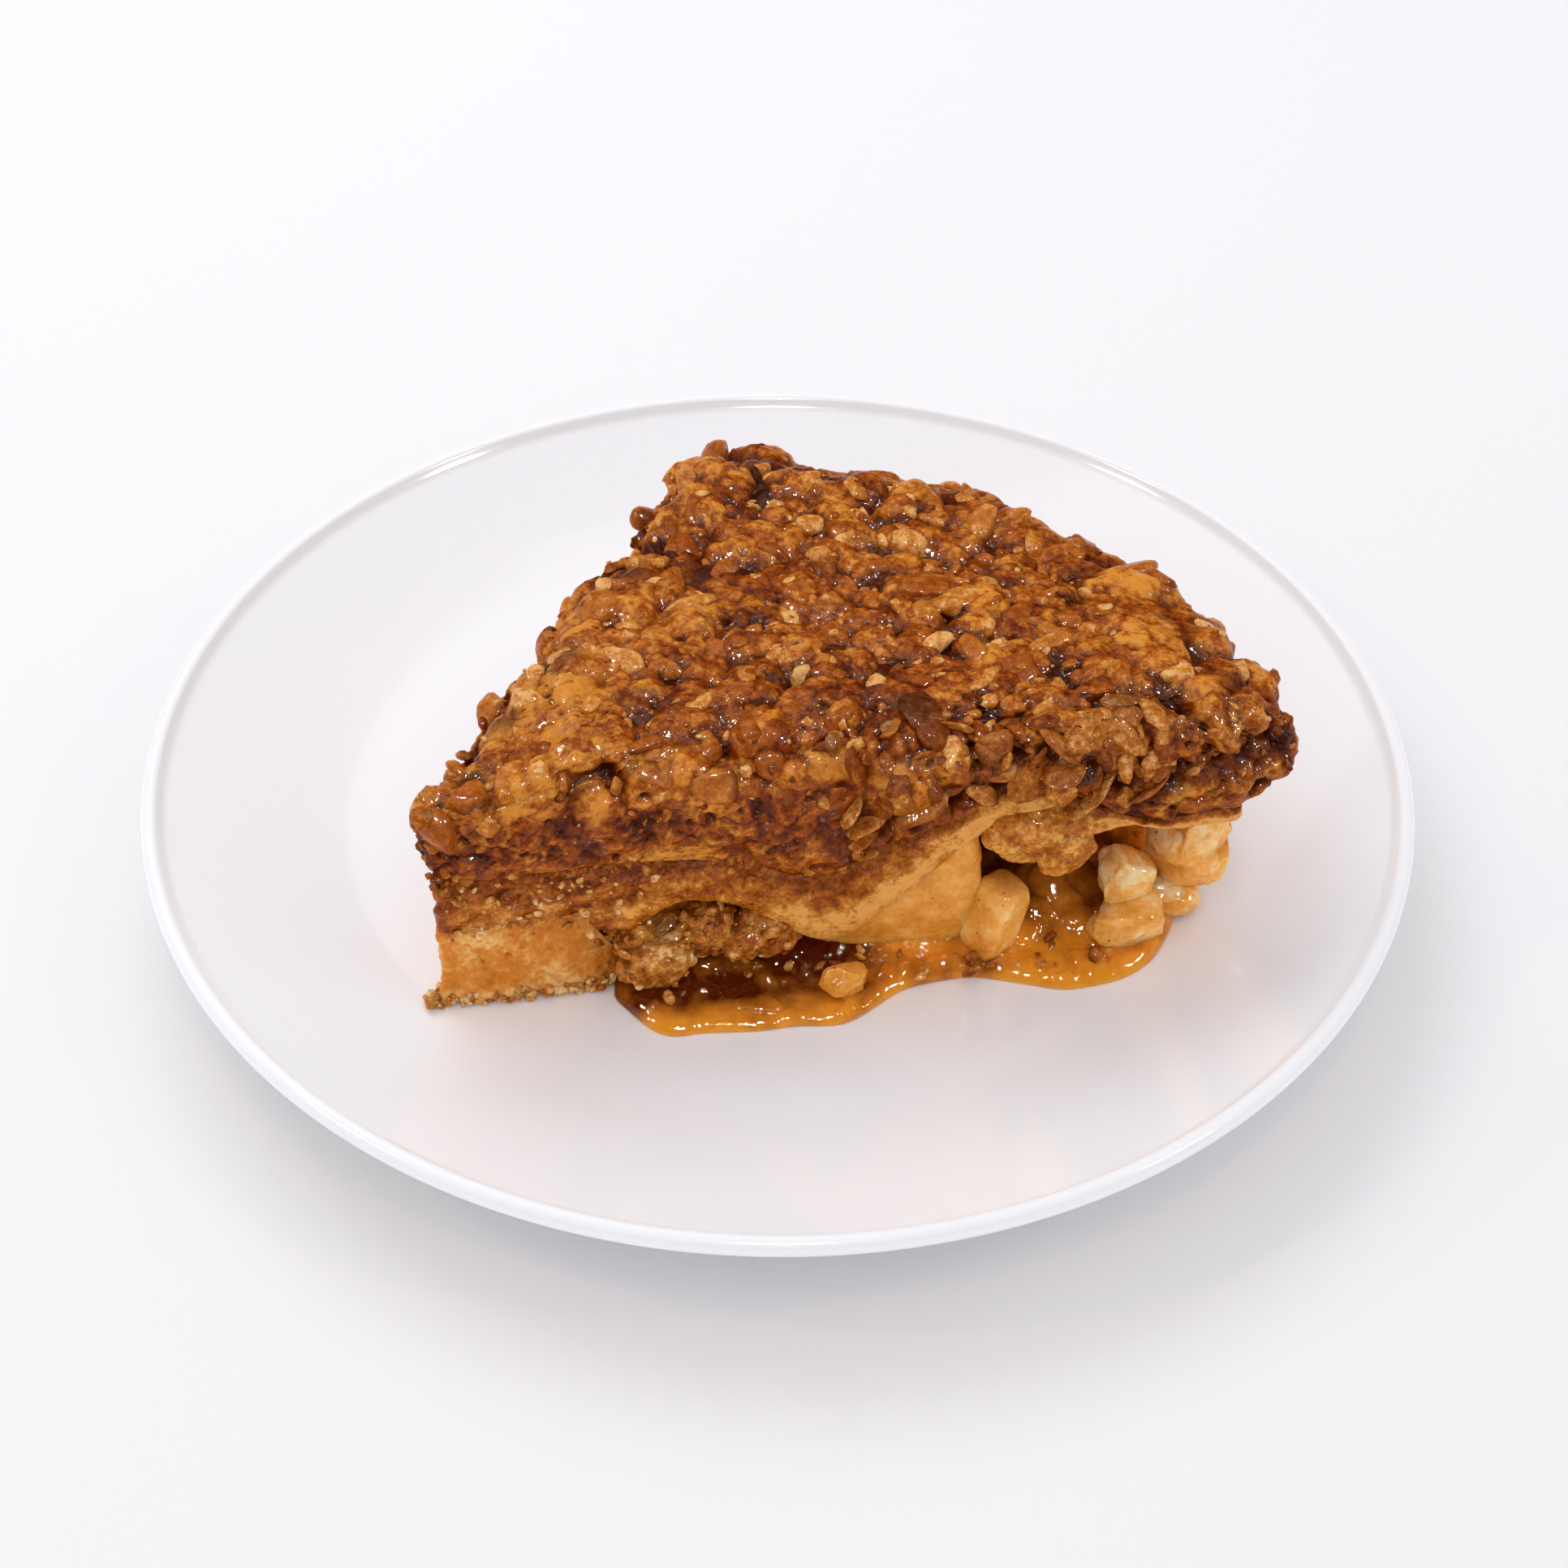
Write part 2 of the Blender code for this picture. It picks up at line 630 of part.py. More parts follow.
def topping_relief(points, rim):
    """Return how far a point of the topping stands out: nuts, clumps and torn pits."""
    s, w, z = points[:, 0], points[:, 1], points[:, 2]
    nuts = (domes(points, 7.5 * MM, 51) - 0.55) * 3.4 * MM
    clumps = drift(points, 15 * MM, 61) * 1.1 * MM
    cut = (1.0 - rim) * (1.0 - smoothstep(44 * MM, 48 * MM, z))
    calm = 1.0 - 0.55 * cut * (1.0 - smoothstep(55 * MM, 75 * MM, s))
    pits = np.zeros(len(points))
    for pit_s, pit_z, width in TORN_PITS:
        near = bump(s, pit_s * MM, width * MM) * bump(z, pit_z * MM, width * MM)
        pits += near * (w < 9 * MM) * 4.0 * MM
    return nuts * calm + clumps - pits


def topping_ring(share):
    """Return one ring of the topping's side, from its foot (0) to its shoulder (1)."""
    above = max(share - 0.5, 0.0) / 0.5
    below = max(0.5 - share, 0.0) / 0.5
    rim_inset = 10.5 * MM * above**2.3 + 8.0 * MM * below**1.8

    def front_inset(s):
        return 3.8 * MM * above**1.6 * smoothstep(0.0, 45 * MM, s) + 0.8 * MM * below**2

    left_inset = 1.2 * MM * above**1.6 + 0.8 * MM * below**2
    ring, rim = wedge(
        FINE_SAMPLES, PIE_RADIUS - rim_inset, front_inset, left_inset, CORNER_ROUNDING
    )
    along = ring @ np.array((math.cos(WEDGE_ANGLE), math.sin(WEDGE_ANGLE)))
    depth = ring @ np.array((math.sin(WEDGE_ANGLE), -math.cos(WEDGE_ANGLE)))
    on_left = (1.0 - smoothstep(2 * MM, 6 * MM, depth)) * (1.0 - rim)
    notch = sum(deep * bump(along, at * MM, width * MM) for at, width, deep in LEFT_NOTCHES)
    ring = ring - outward(ring) * ((notch - 0.8) * on_left * share * MM)[:, None]
    low = topping_base(ring[:, 0], ring[:, 1])
    high = topping_top(ring[:, 0], ring[:, 1]) - 2.6 * MM * smoothstep(0.9, 1.0, share) * (1 - rim)
    return lift(ring, low + (high - low) * share), rim


def make_topping(collection, parent):
    """Loft the nut topping with its rounded rim, then fuse on the pieces that stand out."""
    shares = (0.0, 0.12, 0.27, 0.43, 0.58, 0.73, 0.87, 1.0)
    sides = [topping_ring(share) for share in shares]
    rim = sides[0][1]
    foot, edge = sides[0][0][:, :2], sides[-1][0][:, :2]
    under = [lift(toward(foot, f), topping_base) for f in (0.5, 0.84)]
    over = [
        lift(toward(edge, f), topping_top)
        for f in (0.93, 0.85, 0.76, 0.67, 0.57, 0.46, 0.35, 0.23, 0.11)
    ]
    grid = np.array(under + [side for side, _ in sides] + over)
    normals = surface_normals(grid)
    for k in range(len(under), len(grid)):
        share = shares[min(k - len(under), len(shares) - 1)]
        # Low on the side the relief only goes outwards, so the foot stays on the pastry.
        normals[k, :, 2] *= share > 0.5
        strength = min(max(share - 0.1, 0.0) / 0.2, 1.0)
        grid[k] += normals[k] * (topping_relief(grid[k], rim) * strength)[:, None]
    faces_of = (topping_base, topping_top)
    topping = loft("nut_topping", grid, faces_of, "nut_topping", collection, parent)
    skin = grid[len(under) :].reshape(-1, 3)
    facing = normals[len(under) :].reshape(-1, 3)
    pieces = topping_pieces(skin, facing, collection, parent)
    return combine(topping, pieces, "UNION")


def topping_pieces(skin, facing, collection, parent):
    """Return chopped nuts half sunk in the topping, many at the torn right of the cut."""
    draw = random.Random(7)
    pieces = []

    def nut_floor(s, w):
        return topping_base(s, w) + GAP

    while len(pieces) < NUT_PIECES:
        i = len(pieces)
        on_cut = i % 5 < 2
        if on_cut:
            aim = (draw.uniform(60, 124) * MM, 2 * MM, draw.uniform(39, 50) * MM)
        else:
            aim = (draw.uniform(6, 128) * MM, draw.uniform(6, 92) * MM, TOPPING_TOP)
        away = np.linalg.norm(skin - np.array(aim), axis=1)
        nearest = int(away.argmin())
        if away[nearest] > 4 * MM:
            continue
        tilt = 50 if on_cut else 20
        size = [draw.uniform(6, 9) * MM, draw.uniform(4.5, 7) * MM, draw.uniform(3, 5) * MM]
        turn = (draw.uniform(-tilt, tilt), draw.uniform(-tilt, tilt), draw.uniform(0, 180))
        place = skin[nearest] - facing[nearest] * 0.3 * size[2]
        pieces.append(
            lump(
                f"nut_{i}", place, size, "nut_topping", collection, parent,
                turn=turn, seed=70 + i, rough=0.2, detail=1, boxy=0.6, floor=nut_floor,
            )
        )
    return pieces


# Separate pieces of apple and pastry: name, centre, size, turn, boxiness, finish, detail.
FRONT_PIECES = (
    ("apple_slice", (72, 2.8, 22), (25, 7.5, 29), (4, 0, -4), 0.75, "apple_flesh", 3),
    ("apple_wedge_small", (87, -0.4, 16.6), (7.4, 7.5, 13.5), (0, 12, 20), 0.8, "apple_flesh", 2),
    ("apple_cube", (107, 3.6, 20.6), (7.6, 8, 7.6), (8, 14, 12), 0.85, "apple_flesh", 2),
    ("apple_chunk_low", (106.8, -0.5, 13), (11, 8.5, 7), (0, -8, -10), 0.6, "apple_flesh", 2),
    ("apple_chunk_right", (118, 7.2, 23.3), (11.4, 13, 17), (0, 6, 10), 0.55, "apple_flesh", 2),
    ("apple_chunk_foot", (115.5, 8, 12.1), (9.5, 11, 4.4), (0, 0, 0), 0.5, "apple_flesh", 2),
    ("apple_bit_in_syrup", (63.5, -6.5, 12.2), (6.5, 4.5, 5), (10, 20, 35), 0.6, "apple_flesh", 2),
    ("pastry_lump_large", (51.4, 2.2, 17.3), (11, 9, 7.5), (0, -18, 5), 0.4, "crumbled_pastry", 2),
    ("pastry_lump_small", (43.4, 1.8, 19.6), (5.6, 7, 8), (0, 25, 0), 0.45, "crumbled_pastry", 2),
)

# Apple that shows in the left cut: distance from the tip along it, height, size, turn.
LEFT_PIECES = (
    (42, 21.0, (12, 9, 8), -20),
    (56, 19.0, (15, 9, 12), 12),
    (71.5, 18.2, (12, 10, 9), -28),
    (83, 20.5, (9, 9, 12), 10),
)


def make_pieces(collection, parent):
    """Make every separate piece of apple and pastry that shows in the two cuts."""
    made = {}
    for seed, (name, centre, size, turn, boxy, finish, detail) in enumerate(FRONT_PIECES):
        centre = [c * MM for c in centre]
        size = [c * MM for c in size]
        made[name] = lump(
            name, centre, size, finish, collection, parent, turn=turn, boxy=boxy,
            seed=seed + 1, rough=0.07, detail=detail, ceiling=pastry_base,
        )
    wedge_turn = math.degrees(WEDGE_ANGLE)
    into = np.array((math.sin(WEDGE_ANGLE), -math.cos(WEDGE_ANGLE)))
    along = np.array((math.cos(WEDGE_ANGLE), math.sin(WEDGE_ANGLE)))
    for i, (reach, height, size, tilt) in enumerate(LEFT_PIECES):
        name = f"apple_left_{i + 1}"
        flat = along * reach * MM + into * 4.2 * MM
        made[name] = lump(
            name, (flat[0], flat[1], height * MM), [c * MM for c in size],
            "apple_flesh", collection, parent, turn=(0, tilt, wedge_turn), boxy=0.65,
            seed=30 + i, rough=0.08, detail=2, ceiling=pastry_base,
            floor=lambda s, w: np.full(len(s), FLOOR_TOP + GAP),
        )
    return made


def make_crumbs(collection, parent):
    """Fuse the loose crumbs between the tip block and the pastry lumps into one heap."""
    draw = random.Random(11)
    heap = lump(
        "pastry_crumbs", (35.5 * MM, 1.5 * MM, 15.4 * MM), (10 * MM, 8 * MM, 9 * MM),
        "crumbled_pastry", collection, parent, seed=60, rough=0.16, detail=2, ceiling=pastry_base,
    )
    bits = []
    for i in range(6):
        angle = draw.uniform(0, math.pi)
        place = (
            (35.5 + 4.6 * math.cos(angle)) * MM,
            (-2.0 - draw.uniform(0, 1)) * MM,
            (15.4 + 4.0 * math.sin(angle)) * MM,
        )
        size = [draw.uniform(2.6, 4.2) * MM for _ in range(3)]
        bits.append(
            lump(
                f"crumb_{i}", place, size, "crumbled_pastry", collection, parent,
                turn=(draw.uniform(0, 90), draw.uniform(0, 90), 0), seed=80 + i, detail=1,
                boxy=0.6, rough=0.2, ceiling=pastry_base,
            )
        )
    return combine(heap, bits, "UNION")


def make_syrup(collection, parent):
    """Loft the syrup that ran out of the front cut: a low body with a rounded edge."""
    edge = np.array(POOL_EDGE)
    reach = np.concatenate([[0], np.cumsum(np.linalg.norm(np.diff(edge, axis=0), axis=1))])
    at = np.linspace(0, reach[-1], POOL_SAMPLES[0])
    front = np.column_stack([np.interp(at, reach, edge[:, k]) for k in (0, 1)])
    back_s = np.linspace(edge[-1, 0], edge[0, 0], POOL_SAMPLES[1])[1:-1]
    back_w = np.minimum(lower_front(back_s) - 0.45 * MM, POOL_BACK)
    ring = smooth_ring(np.vstack([front, np.column_stack([back_s, back_w])]), 2.2 * MM)
    ring[:, 1] = np.minimum(ring[:, 1], np.maximum(lower_front(ring[:, 0]) - 0.4 * MM, -0.9 * MM))
    spine = np.column_stack([np.clip(ring[:, 0], 38 * MM, 108 * MM), np.full(len(ring), -1.2 * MM)])

    def pull(share):
        return spine + (ring - spine) * share

    floor = [lift(pull(f), food_floor) for f in (0.5, 0.93)]
    profile = ((1.0, 0.25), (0.98, 0.55), (0.9, 0.82), (0.7, 1.0), (0.4, 1.0))
    tops = []
    for share, height in profile:
        flat = pull(share)
        depth = POOL_DEPTH * (0.78 + 0.22 * smoothstep(-8 * MM, 2 * MM, flat[:, 1]))
        tops.append(lift(flat, food_floor(flat[:, 0], flat[:, 1]) + depth * height))
    grid = np.array(floor + tops)
    return loft("syrup", grid, None, "syrup", collection, parent)


def main():
    """Clear the scene and build the plate and the slice."""
    for item in list(bpy.data.objects):
        bpy.data.objects.remove(item)
    scene = bpy.context.scene.collection
    collection = bpy.data.collections.new("apple_pie_slice")
    scene.children.link(collection)
    cutters = bpy.data.collections.new("cutters")
    scene.children.link(cutters)
    make_plate(collection)
    slice_frame = bpy.data.objects.new("slice_frame", None)
    slice_frame.location = (TIP[0], TIP[1], 0.0)
    slice_frame.rotation_euler = (0.0, 0.0, FRONT_TURN)
    collection.objects.link(slice_frame)
    make_topping(collection, slice_frame)
    pastry = make_pastry(collection, slice_frame)
    crust = make_crust(collection, slice_frame)
    filling = make_filling(collection, slice_frame)
    syrup = make_syrup(collection, slice_frame)
    pieces = make_pieces(collection, slice_frame)
    pieces["pastry_crumbs"] = make_crumbs(collection, slice_frame)
    pieces_laid = tuple(pieces.values())
    # Each body makes room for what was laid before it, from the shapes before any cut.
    neighbours = (
        (pieces["apple_slice"], (pieces["apple_wedge_small"],)),
        (crust, (*pieces_laid, pastry)),
        (filling, (*pieces_laid, pastry, crust)),
        (syrup, (*pieces_laid, crust, filling)),
    )
    rooms = [
        [grown(item, margin, cutters) for item in laid for margin in (GAP, TOUCH)]
        for _, laid in neighbours
    ]
    rooms[2].append(tip_cutter(FILLING_START, cutters, slice_frame))
    for (body, _), room in zip(neighbours, rooms):
        combine(body, room, "DIFFERENCE")


main()
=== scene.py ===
"""Looks of one slice of apple pie with a caramelised nut topping, on a white coupe plate.

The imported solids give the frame. Every piece repeats the layers of those solids as functions
of two parameters and adds relief, crumbs and finishes that are too fine for them. The slice
has a frame of its own: S runs along the front cut from the tip, W runs back from that cut and
Z is up. Slice.world turns that frame into the row's.
"""

from __future__ import annotations

import itertools
import logging
import math
from collections.abc import Callable, Iterator, Sequence
from dataclasses import dataclass, field
from enum import Enum

import bmesh
import bpy
import numpy as np
from mathutils import Matrix, Vector


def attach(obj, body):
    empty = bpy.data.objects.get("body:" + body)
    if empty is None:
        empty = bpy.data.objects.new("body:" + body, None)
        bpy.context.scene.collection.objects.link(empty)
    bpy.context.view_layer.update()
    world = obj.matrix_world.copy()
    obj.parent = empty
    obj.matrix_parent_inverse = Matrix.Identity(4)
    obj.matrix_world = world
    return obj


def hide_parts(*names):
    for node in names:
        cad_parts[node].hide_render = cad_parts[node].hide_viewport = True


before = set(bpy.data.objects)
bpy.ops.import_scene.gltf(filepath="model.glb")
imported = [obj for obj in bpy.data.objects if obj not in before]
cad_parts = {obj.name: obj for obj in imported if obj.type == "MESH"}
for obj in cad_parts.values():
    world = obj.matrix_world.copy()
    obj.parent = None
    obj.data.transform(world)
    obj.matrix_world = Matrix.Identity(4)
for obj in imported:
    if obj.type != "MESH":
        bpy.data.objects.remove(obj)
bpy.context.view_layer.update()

LOG = logging.getLogger("apple_pie")
BODY = "root"
MM = 0.001

Array = np.ndarray
Height = Callable[[Array, Array], Array]
Faces = list[Sequence[int]]
Triple = tuple[float, float, float]
Material = bpy.types.Material
Socket = bpy.types.NodeSocket

FRONT = np.array((0.0, -1.0, 0.0))


class Slot(Enum):
    """Material slots that the finishes belong to."""

    PORCELAIN = "porcelain"
    CRUST = "pale_crust"
    PASTRY = "soft_pastry"
    TOPPING = "nut_topping"
    FILLING = "cooked_filling"
    APPLE = "apple_flesh"
    SYRUP = "syrup"
    CRUMB = "crumbled_pastry"


# ---- Numbers: curves and repeatable noise ----


def smoothstep(low: float, high: float, x: Array) -> Array:
    """Return 0 below low, 1 above high and an S-curve between them."""
    x = np.clip((x - low) / (high - low), 0.0, 1.0)
    return x * x * (3.0 - 2.0 * x)


def falloff(low: float, high: float, x: Array) -> Array:
    """Return 1 below low, 0 above high and an S-curve between them."""
    return 1.0 - smoothstep(low, high, x)


def bump(x: Array, centre: float, width: float) -> Array:
    """Return a bell of height 1 at centre, whose standard deviation is width."""
    return np.exp(-0.5 * ((x - centre) / width) ** 2)


def unit(vectors: Array) -> Array:
    """Return vectors of length 1 along the last axis."""
    return vectors / np.linalg.norm(vectors, axis=-1, keepdims=True)


def turns(angles: Array) -> Array:
    """Return rotation matrices about X, then Y, then Z, for angles of shape (n, 3).

    Args:
        angles: Angles in radians.

    Returns:
        Matrices, shape (n, 3, 3).
    """
    (cx, cy, cz), (sx, sy, sz) = np.cos(angles).T, np.sin(angles).T
    rows = (
        (cy * cz, sx * sy * cz - cx * sz, cx * sy * cz + sx * sz),
        (cy * sz, sx * sy * sz + cx * cz, cx * sy * sz - sx * cz),
        (-sy, sx * cy, cx * cy),
    )
    return np.moveaxis(np.array(rows), -1, 0)


def scramble(cells: Array, seed: int) -> Array:
    """Turn whole-number cells of shape (..., 3) into repeatable numbers from 0 to 1.

    Args:
        cells: Cell coordinates.
        seed: A different seed gives different numbers.

    Returns:
        One number for each cell.
    """
    cells = cells.astype(np.int64)
    mixed = cells[..., 0] * 374761393 + cells[..., 1] * 668265263
    mixed = (mixed + cells[..., 2] * 912271213 + seed * 1274126177) & 0xFFFFFFFF
    for shift, factor in ((13, 1274126177), (15, 668265263)):
        mixed = ((mixed ^ (mixed >> shift)) * factor) & 0xFFFFFFFF
    return (mixed ^ (mixed >> 16)) / 4294967296.0


def cells_round(points: Array, size: float) -> Iterator[tuple[Array, Array]]:
    """Go through the 27 cells round every point, on a lattice that no row shows.

    Args:
        points: Points of shape (n, 3), in metres.
        size: Width of a cell, in metres. The lattice is turned by fixed odd angles.

    Yields:
        One cell for each point, and the point as that cell sees it.
    """
    scaled = points @ turns(np.array([[0.61, 0.43, 0.27]]))[0].T / size
    home = np.floor(scaled)
    for step in itertools.product((-1, 0, 1), repeat=3):
        cell = home + np.array(step)
        yield cell, scaled - cell


@dataclass(frozen=True)
class Lumps:
    """Scattered centres, about one size apart, as a point sees them.

    Attributes:
        nearest: Distance to the nearest centre, in sizes.
        second: Distance to the second nearest centre, in sizes.
        tone: The nearest centre's own random number, from 0 to 1.
    """

    nearest: Array
    second: Array
    tone: Array

    @classmethod
    def over(cls, points: Array, size: float, seed: int) -> Lumps:
        """Find the two nearest centres of every point.

        Args:
            points: Points of shape (n, 3), in metres.
            size: Distance between neighbouring centres, in metres.
            seed: Seed of the centres.

        Returns:
            The distances and tones.
        """
        nearest, second = (np.full(len(points), 9.0) for _ in range(2))
        tone = np.zeros(len(points))
        for cell, seen in cells_round(points, size):
            jitter = np.stack([scramble(cell, seed + k) for k in range(3)], axis=-1)
            away = np.linalg.norm(seen - 0.15 - 0.7 * jitter, axis=1)
            closer = away < nearest
            second = np.where(closer, nearest, np.minimum(second, away))
            tone = np.where(closer, scramble(cell, seed + 9), tone)
            nearest = np.where(closer, away, nearest)
        return cls(nearest, second, tone)

    def domes(self) -> Array:
        """Return rounded bumps, 0 to 1 high: the square root of 1 - (r / 0.85)^2."""
        return np.sqrt(np.clip(1.0 - (self.nearest / 0.85) ** 2, 0.0, 1.0))

    def seams(self, width: float) -> Array:
        """Return 1 on the seams between lumps, falling to 0 over a width in sizes."""
        return falloff(0.0, width, self.second - self.nearest)


@dataclass(frozen=True)
class Nuts:
    """Chopped nuts packed at random, as a point of the surface sees them.

    Attributes:
        height: Height of the highest nut, from 0 to 1.
        second: Height of the next one.
        tone: The highest nut's own random number, from 0 to 1.
    """

    height: Array
    second: Array
    tone: Array

    @classmethod
    def over(cls, points: Array, size: float, seed: int, square: float = 2.6) -> Nuts:
        """Find the two highest nuts over every point.

        A nut is a superellipsoid turned at random. With d its offset from a point along its
        own axes, each divided by that axis' radius, t is the sum of |d|^square to the power
        1 / square, and its height over the point is its level times the root of 1 - t^2.

        Args:
            points: Points of shape (n, 3), in metres.
            size: Distance between neighbouring nuts, in metres.
            seed: Seed of the nuts.
            square: 2 for round nuts, more for squarer ones.

        Returns:
            The heights and tones.
        """
        height, second, tone = (np.zeros(len(points)) for _ in range(3))
        for cell, seen in cells_round(points, size):
            draw = [scramble(cell, seed + k) for k in range(8)]
            offset = seen - 0.05 - 0.9 * np.stack(draw[:3], axis=-1)
            z = 2.0 * draw[3] - 1.0
            flat = np.sqrt(1.0 - z * z)
            turn = 2 * math.pi * draw[4]
            first = np.stack([flat * np.cos(turn), flat * np.sin(turn), z], axis=-1)
            other = unit(np.cross(first, np.array((0.31, 0.52, 0.8))))
            third = np.cross(first, other)
            axes = ((first, 0.85 + 0.35 * draw[5]), (other, 0.55 + 0.3 * draw[6]), (third, 0.6))
            t = sum(np.abs(np.sum(offset * axis, axis=1) / r) ** square for axis, r in axes)
            rise = (0.6 + 0.4 * draw[7]) * np.sqrt(np.clip(1.0 - t ** (2 / square), 0.0, 1.0))
            higher = rise > height
            second = np.where(higher, height, np.maximum(second, rise))
            tone = np.where(higher, scramble(cell, seed + 9), tone)
            height = np.where(higher, rise, height)
        return cls(height, second, tone)

    def creases(self, width: float) -> Array:
        """Return 1 between nuts and in bare spots, falling to 0 over a height."""
        meet = falloff(0.0, width, self.height - self.second)
        return np.maximum(falloff(0.0, 0.4, self.height), meet * falloff(0.4, 0.8, self.height))


def drift(points: Array, size: float | Triple, seed: int) -> Array:
    """Return smooth noise from -1 to 1: corner values of a grid, blended by S-curves.

    Args:
        points: Points of shape (n, 3), in metres.
        size: Width of the noise's features, one for all axes or one for each.
        seed: Seed of the corner values.

    Returns:
        One number for each point.
    """
    scaled = points / np.array(size)
    home = np.floor(scaled)
    blend = scaled - home
    blend = blend * blend * (3.0 - 2.0 * blend)
    total = np.zeros(len(points))
    for step in itertools.product((0, 1), repeat=3):
        weight = np.prod(np.where(np.array(step) == 1, blend, 1.0 - blend), axis=1)
        total += weight * scramble(home + np.array(step), seed)
    return total * 2.0 - 1.0


def roughen(points: Array, size: float, seed: int, levels: int = 3) -> Array:
    """Return noise summed over levels, each half as wide and half as strong."""
    return sum(drift(points, size / 2**k, seed + 17 * k) / 2**k for k in range(levels))


def settle(height: Array, limit: float, soft: float = 2.4 * MM) -> Array:
    """Press heights together under a limit: they near it as an exponential."""
    over = np.maximum(height - (limit - soft), 0.0)
    return np.minimum(height, limit - soft) + soft * (1.0 - np.exp(-over / soft))


# ---- Meshes ----


@dataclass
class Form:
    """Arrays of a mesh before it becomes one.

    Attributes:
        points: Corners, shape (n, 3), in the row's frame and in metres.
        faces: Lists of corner numbers.
        values: Named numbers, one for each corner, that the finishes read.
    """

    points: Array
    faces: Faces
    values: dict[str, Array] = field(default_factory=dict)

    def join(self, *others: Form) -> Form:
        """Return one form that holds this one and others, which share its values."""
        forms = (self, *others)
        starts = np.cumsum([0] + [len(form.points) for form in forms])
        faces = [
            [int(start) + corner for corner in face]
            for start, form in zip(starts, forms)
            for face in form.faces
        ]
        values = {
            name: np.concatenate([form.values[name] for form in forms]) for name in self.values
        }
        return Form(np.vstack([form.points for form in forms]), faces, values)

    def piece(self, name: str, finish: Material, slot: Slot, nodes: Sequence[str] = ()) -> None:
        """Make the object, ride it on the body and hide the nodes that it stands for.

        Args:
            name: Name of the piece.
            finish: Its material.
            slot: Not used.
            nodes: Nodes that the piece replaces.
        """
        mesh = bpy.data.meshes.new(name)
        mesh.from_pydata(self.points.tolist(), [], self.faces)
        mesh.validate()
        for label, numbers in self.values.items():
            layer = mesh.attributes.new(label, "FLOAT", "POINT")
            layer.data.foreach_set("value", np.asarray(numbers, dtype=np.float32))
        mesh.shade_smooth()
        mesh.materials.append(finish)
        item = bpy.data.objects.new(name, mesh)
        bpy.context.scene.collection.objects.link(item)
        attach(item, BODY)
        if nodes:
            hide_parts(*nodes)
        LOG.info("%s: %d corners, %d faces", name, len(self.points), len(self.faces))


def loft_faces(rings: int, around: int) -> Faces:
    """Return the faces of a closed loft whose two poles follow its rings.

    Args:
        rings: Number of rings, from the underside to the upper face.
        around: Corners on each ring.

    Returns:
        Quads between the rings, and triangles round the two poles.
    """
    here = np.arange(around)
    after = np.roll(here, -1)
    rows = np.arange(rings - 1)[:, None] * around
    corners = [rows + here, rows + after, rows + around + after, rows + around + here]
    quads = np.stack(corners, axis=-1).reshape(-1, 4)
    low, last = rings * around, (rings - 1) * around
    bottom = np.stack([np.full(around, low), after, here], axis=-1)
    top = np.stack([np.full(around, low + 1), last + here, last + after], axis=-1)
    return quads.tolist() + bottom.tolist() + top.tolist()


def loft_normals(grid: Array) -> Array:
    """Return unit normals at the points of a closed loft, shaped (rings, points, 3).

    Args:
        grid: Points of the loft, of the same shape.

    Returns:
        The normals.
    """
    along = np.roll(grid, -1, axis=1) - np.roll(grid, 1, axis=1)
    normal = np.cross(along, np.gradient(grid, axis=0))
    return normal / np.maximum(np.linalg.norm(normal, axis=2, keepdims=True), 1e-12)


def sphere(level: int) -> tuple[Array, Faces]:
    """Return the corners and faces of a unit icosphere of a subdivision level.

    Args:
        level: Subdivision level.

    Returns:
        Corners, shape (n, 3), and faces.
    """
    form = bmesh.new()
    bmesh.ops.create_icosphere(form, subdivisions=level, radius=1.0)
    points = np.array([v.co[:] for v in form.verts])
    faces = [[v.index for v in face.verts] for face in form.faces]
    form.free()
    return points, faces


def smooth_ring(ring: Array, width: float, measure: Array | None = None) -> Array:
    """Round a closed ring's corners with a moving average that is a bell in width.

    Args:
        ring: Values round the ring, shape (n, k).
        width: Standard deviation of the bell, in metres.
        measure: The ring whose mean step turns the width into samples, if not this one.

    Returns:
        The averaged ring.
    """
    measure = ring if measure is None else measure
    step = np.linalg.norm(np.roll(measure, -1, axis=0) - measure, axis=1).mean()
    sigma = max(width / step, 0.05)
    reach = int(math.ceil(3 * sigma))
    offsets = np.arange(-reach, reach + 1)
    weights = np.exp(-0.5 * (offsets / sigma) ** 2)
    weights /= weights.sum()
    return sum(k * np.roll(ring, -o, axis=0) for k, o in zip(weights, offsets))


def outward(ring: Array) -> Array:
    """Return unit vectors in the plane that point out of a counter-clockwise ring."""
    along = unit(np.roll(ring, -1, axis=0) - np.roll(ring, 1, axis=0))
    return np.stack([along[:, 1], -along[:, 0]], axis=1)


def cut_stone(ball: Array, sides: Array, away: Array, crisp: float) -> Array:
    """Return how far the soft meeting of half-spaces reaches in each direction.

    In a direction d it is the sum over the flat sides k of (max(d.n_k, 0) / h_k)^p, to the
    power -1/p, and 1.35 at most.

    Args:
        ball: Unit directions, shape (v, 3).
        sides: Unit normals of the flat sides, shape (n, k, 3).
        away: Their distances from the middle, shape (n, k).
        crisp: The power p.

    Returns:
        The reach, shape (n, v).
    """
    push = np.maximum(np.einsum("vd,nkd->nvk", ball, sides) / away[:, None, :], 1e-6)
    return np.minimum((push**crisp).sum(axis=2) ** (-1.0 / crisp), 1.35)


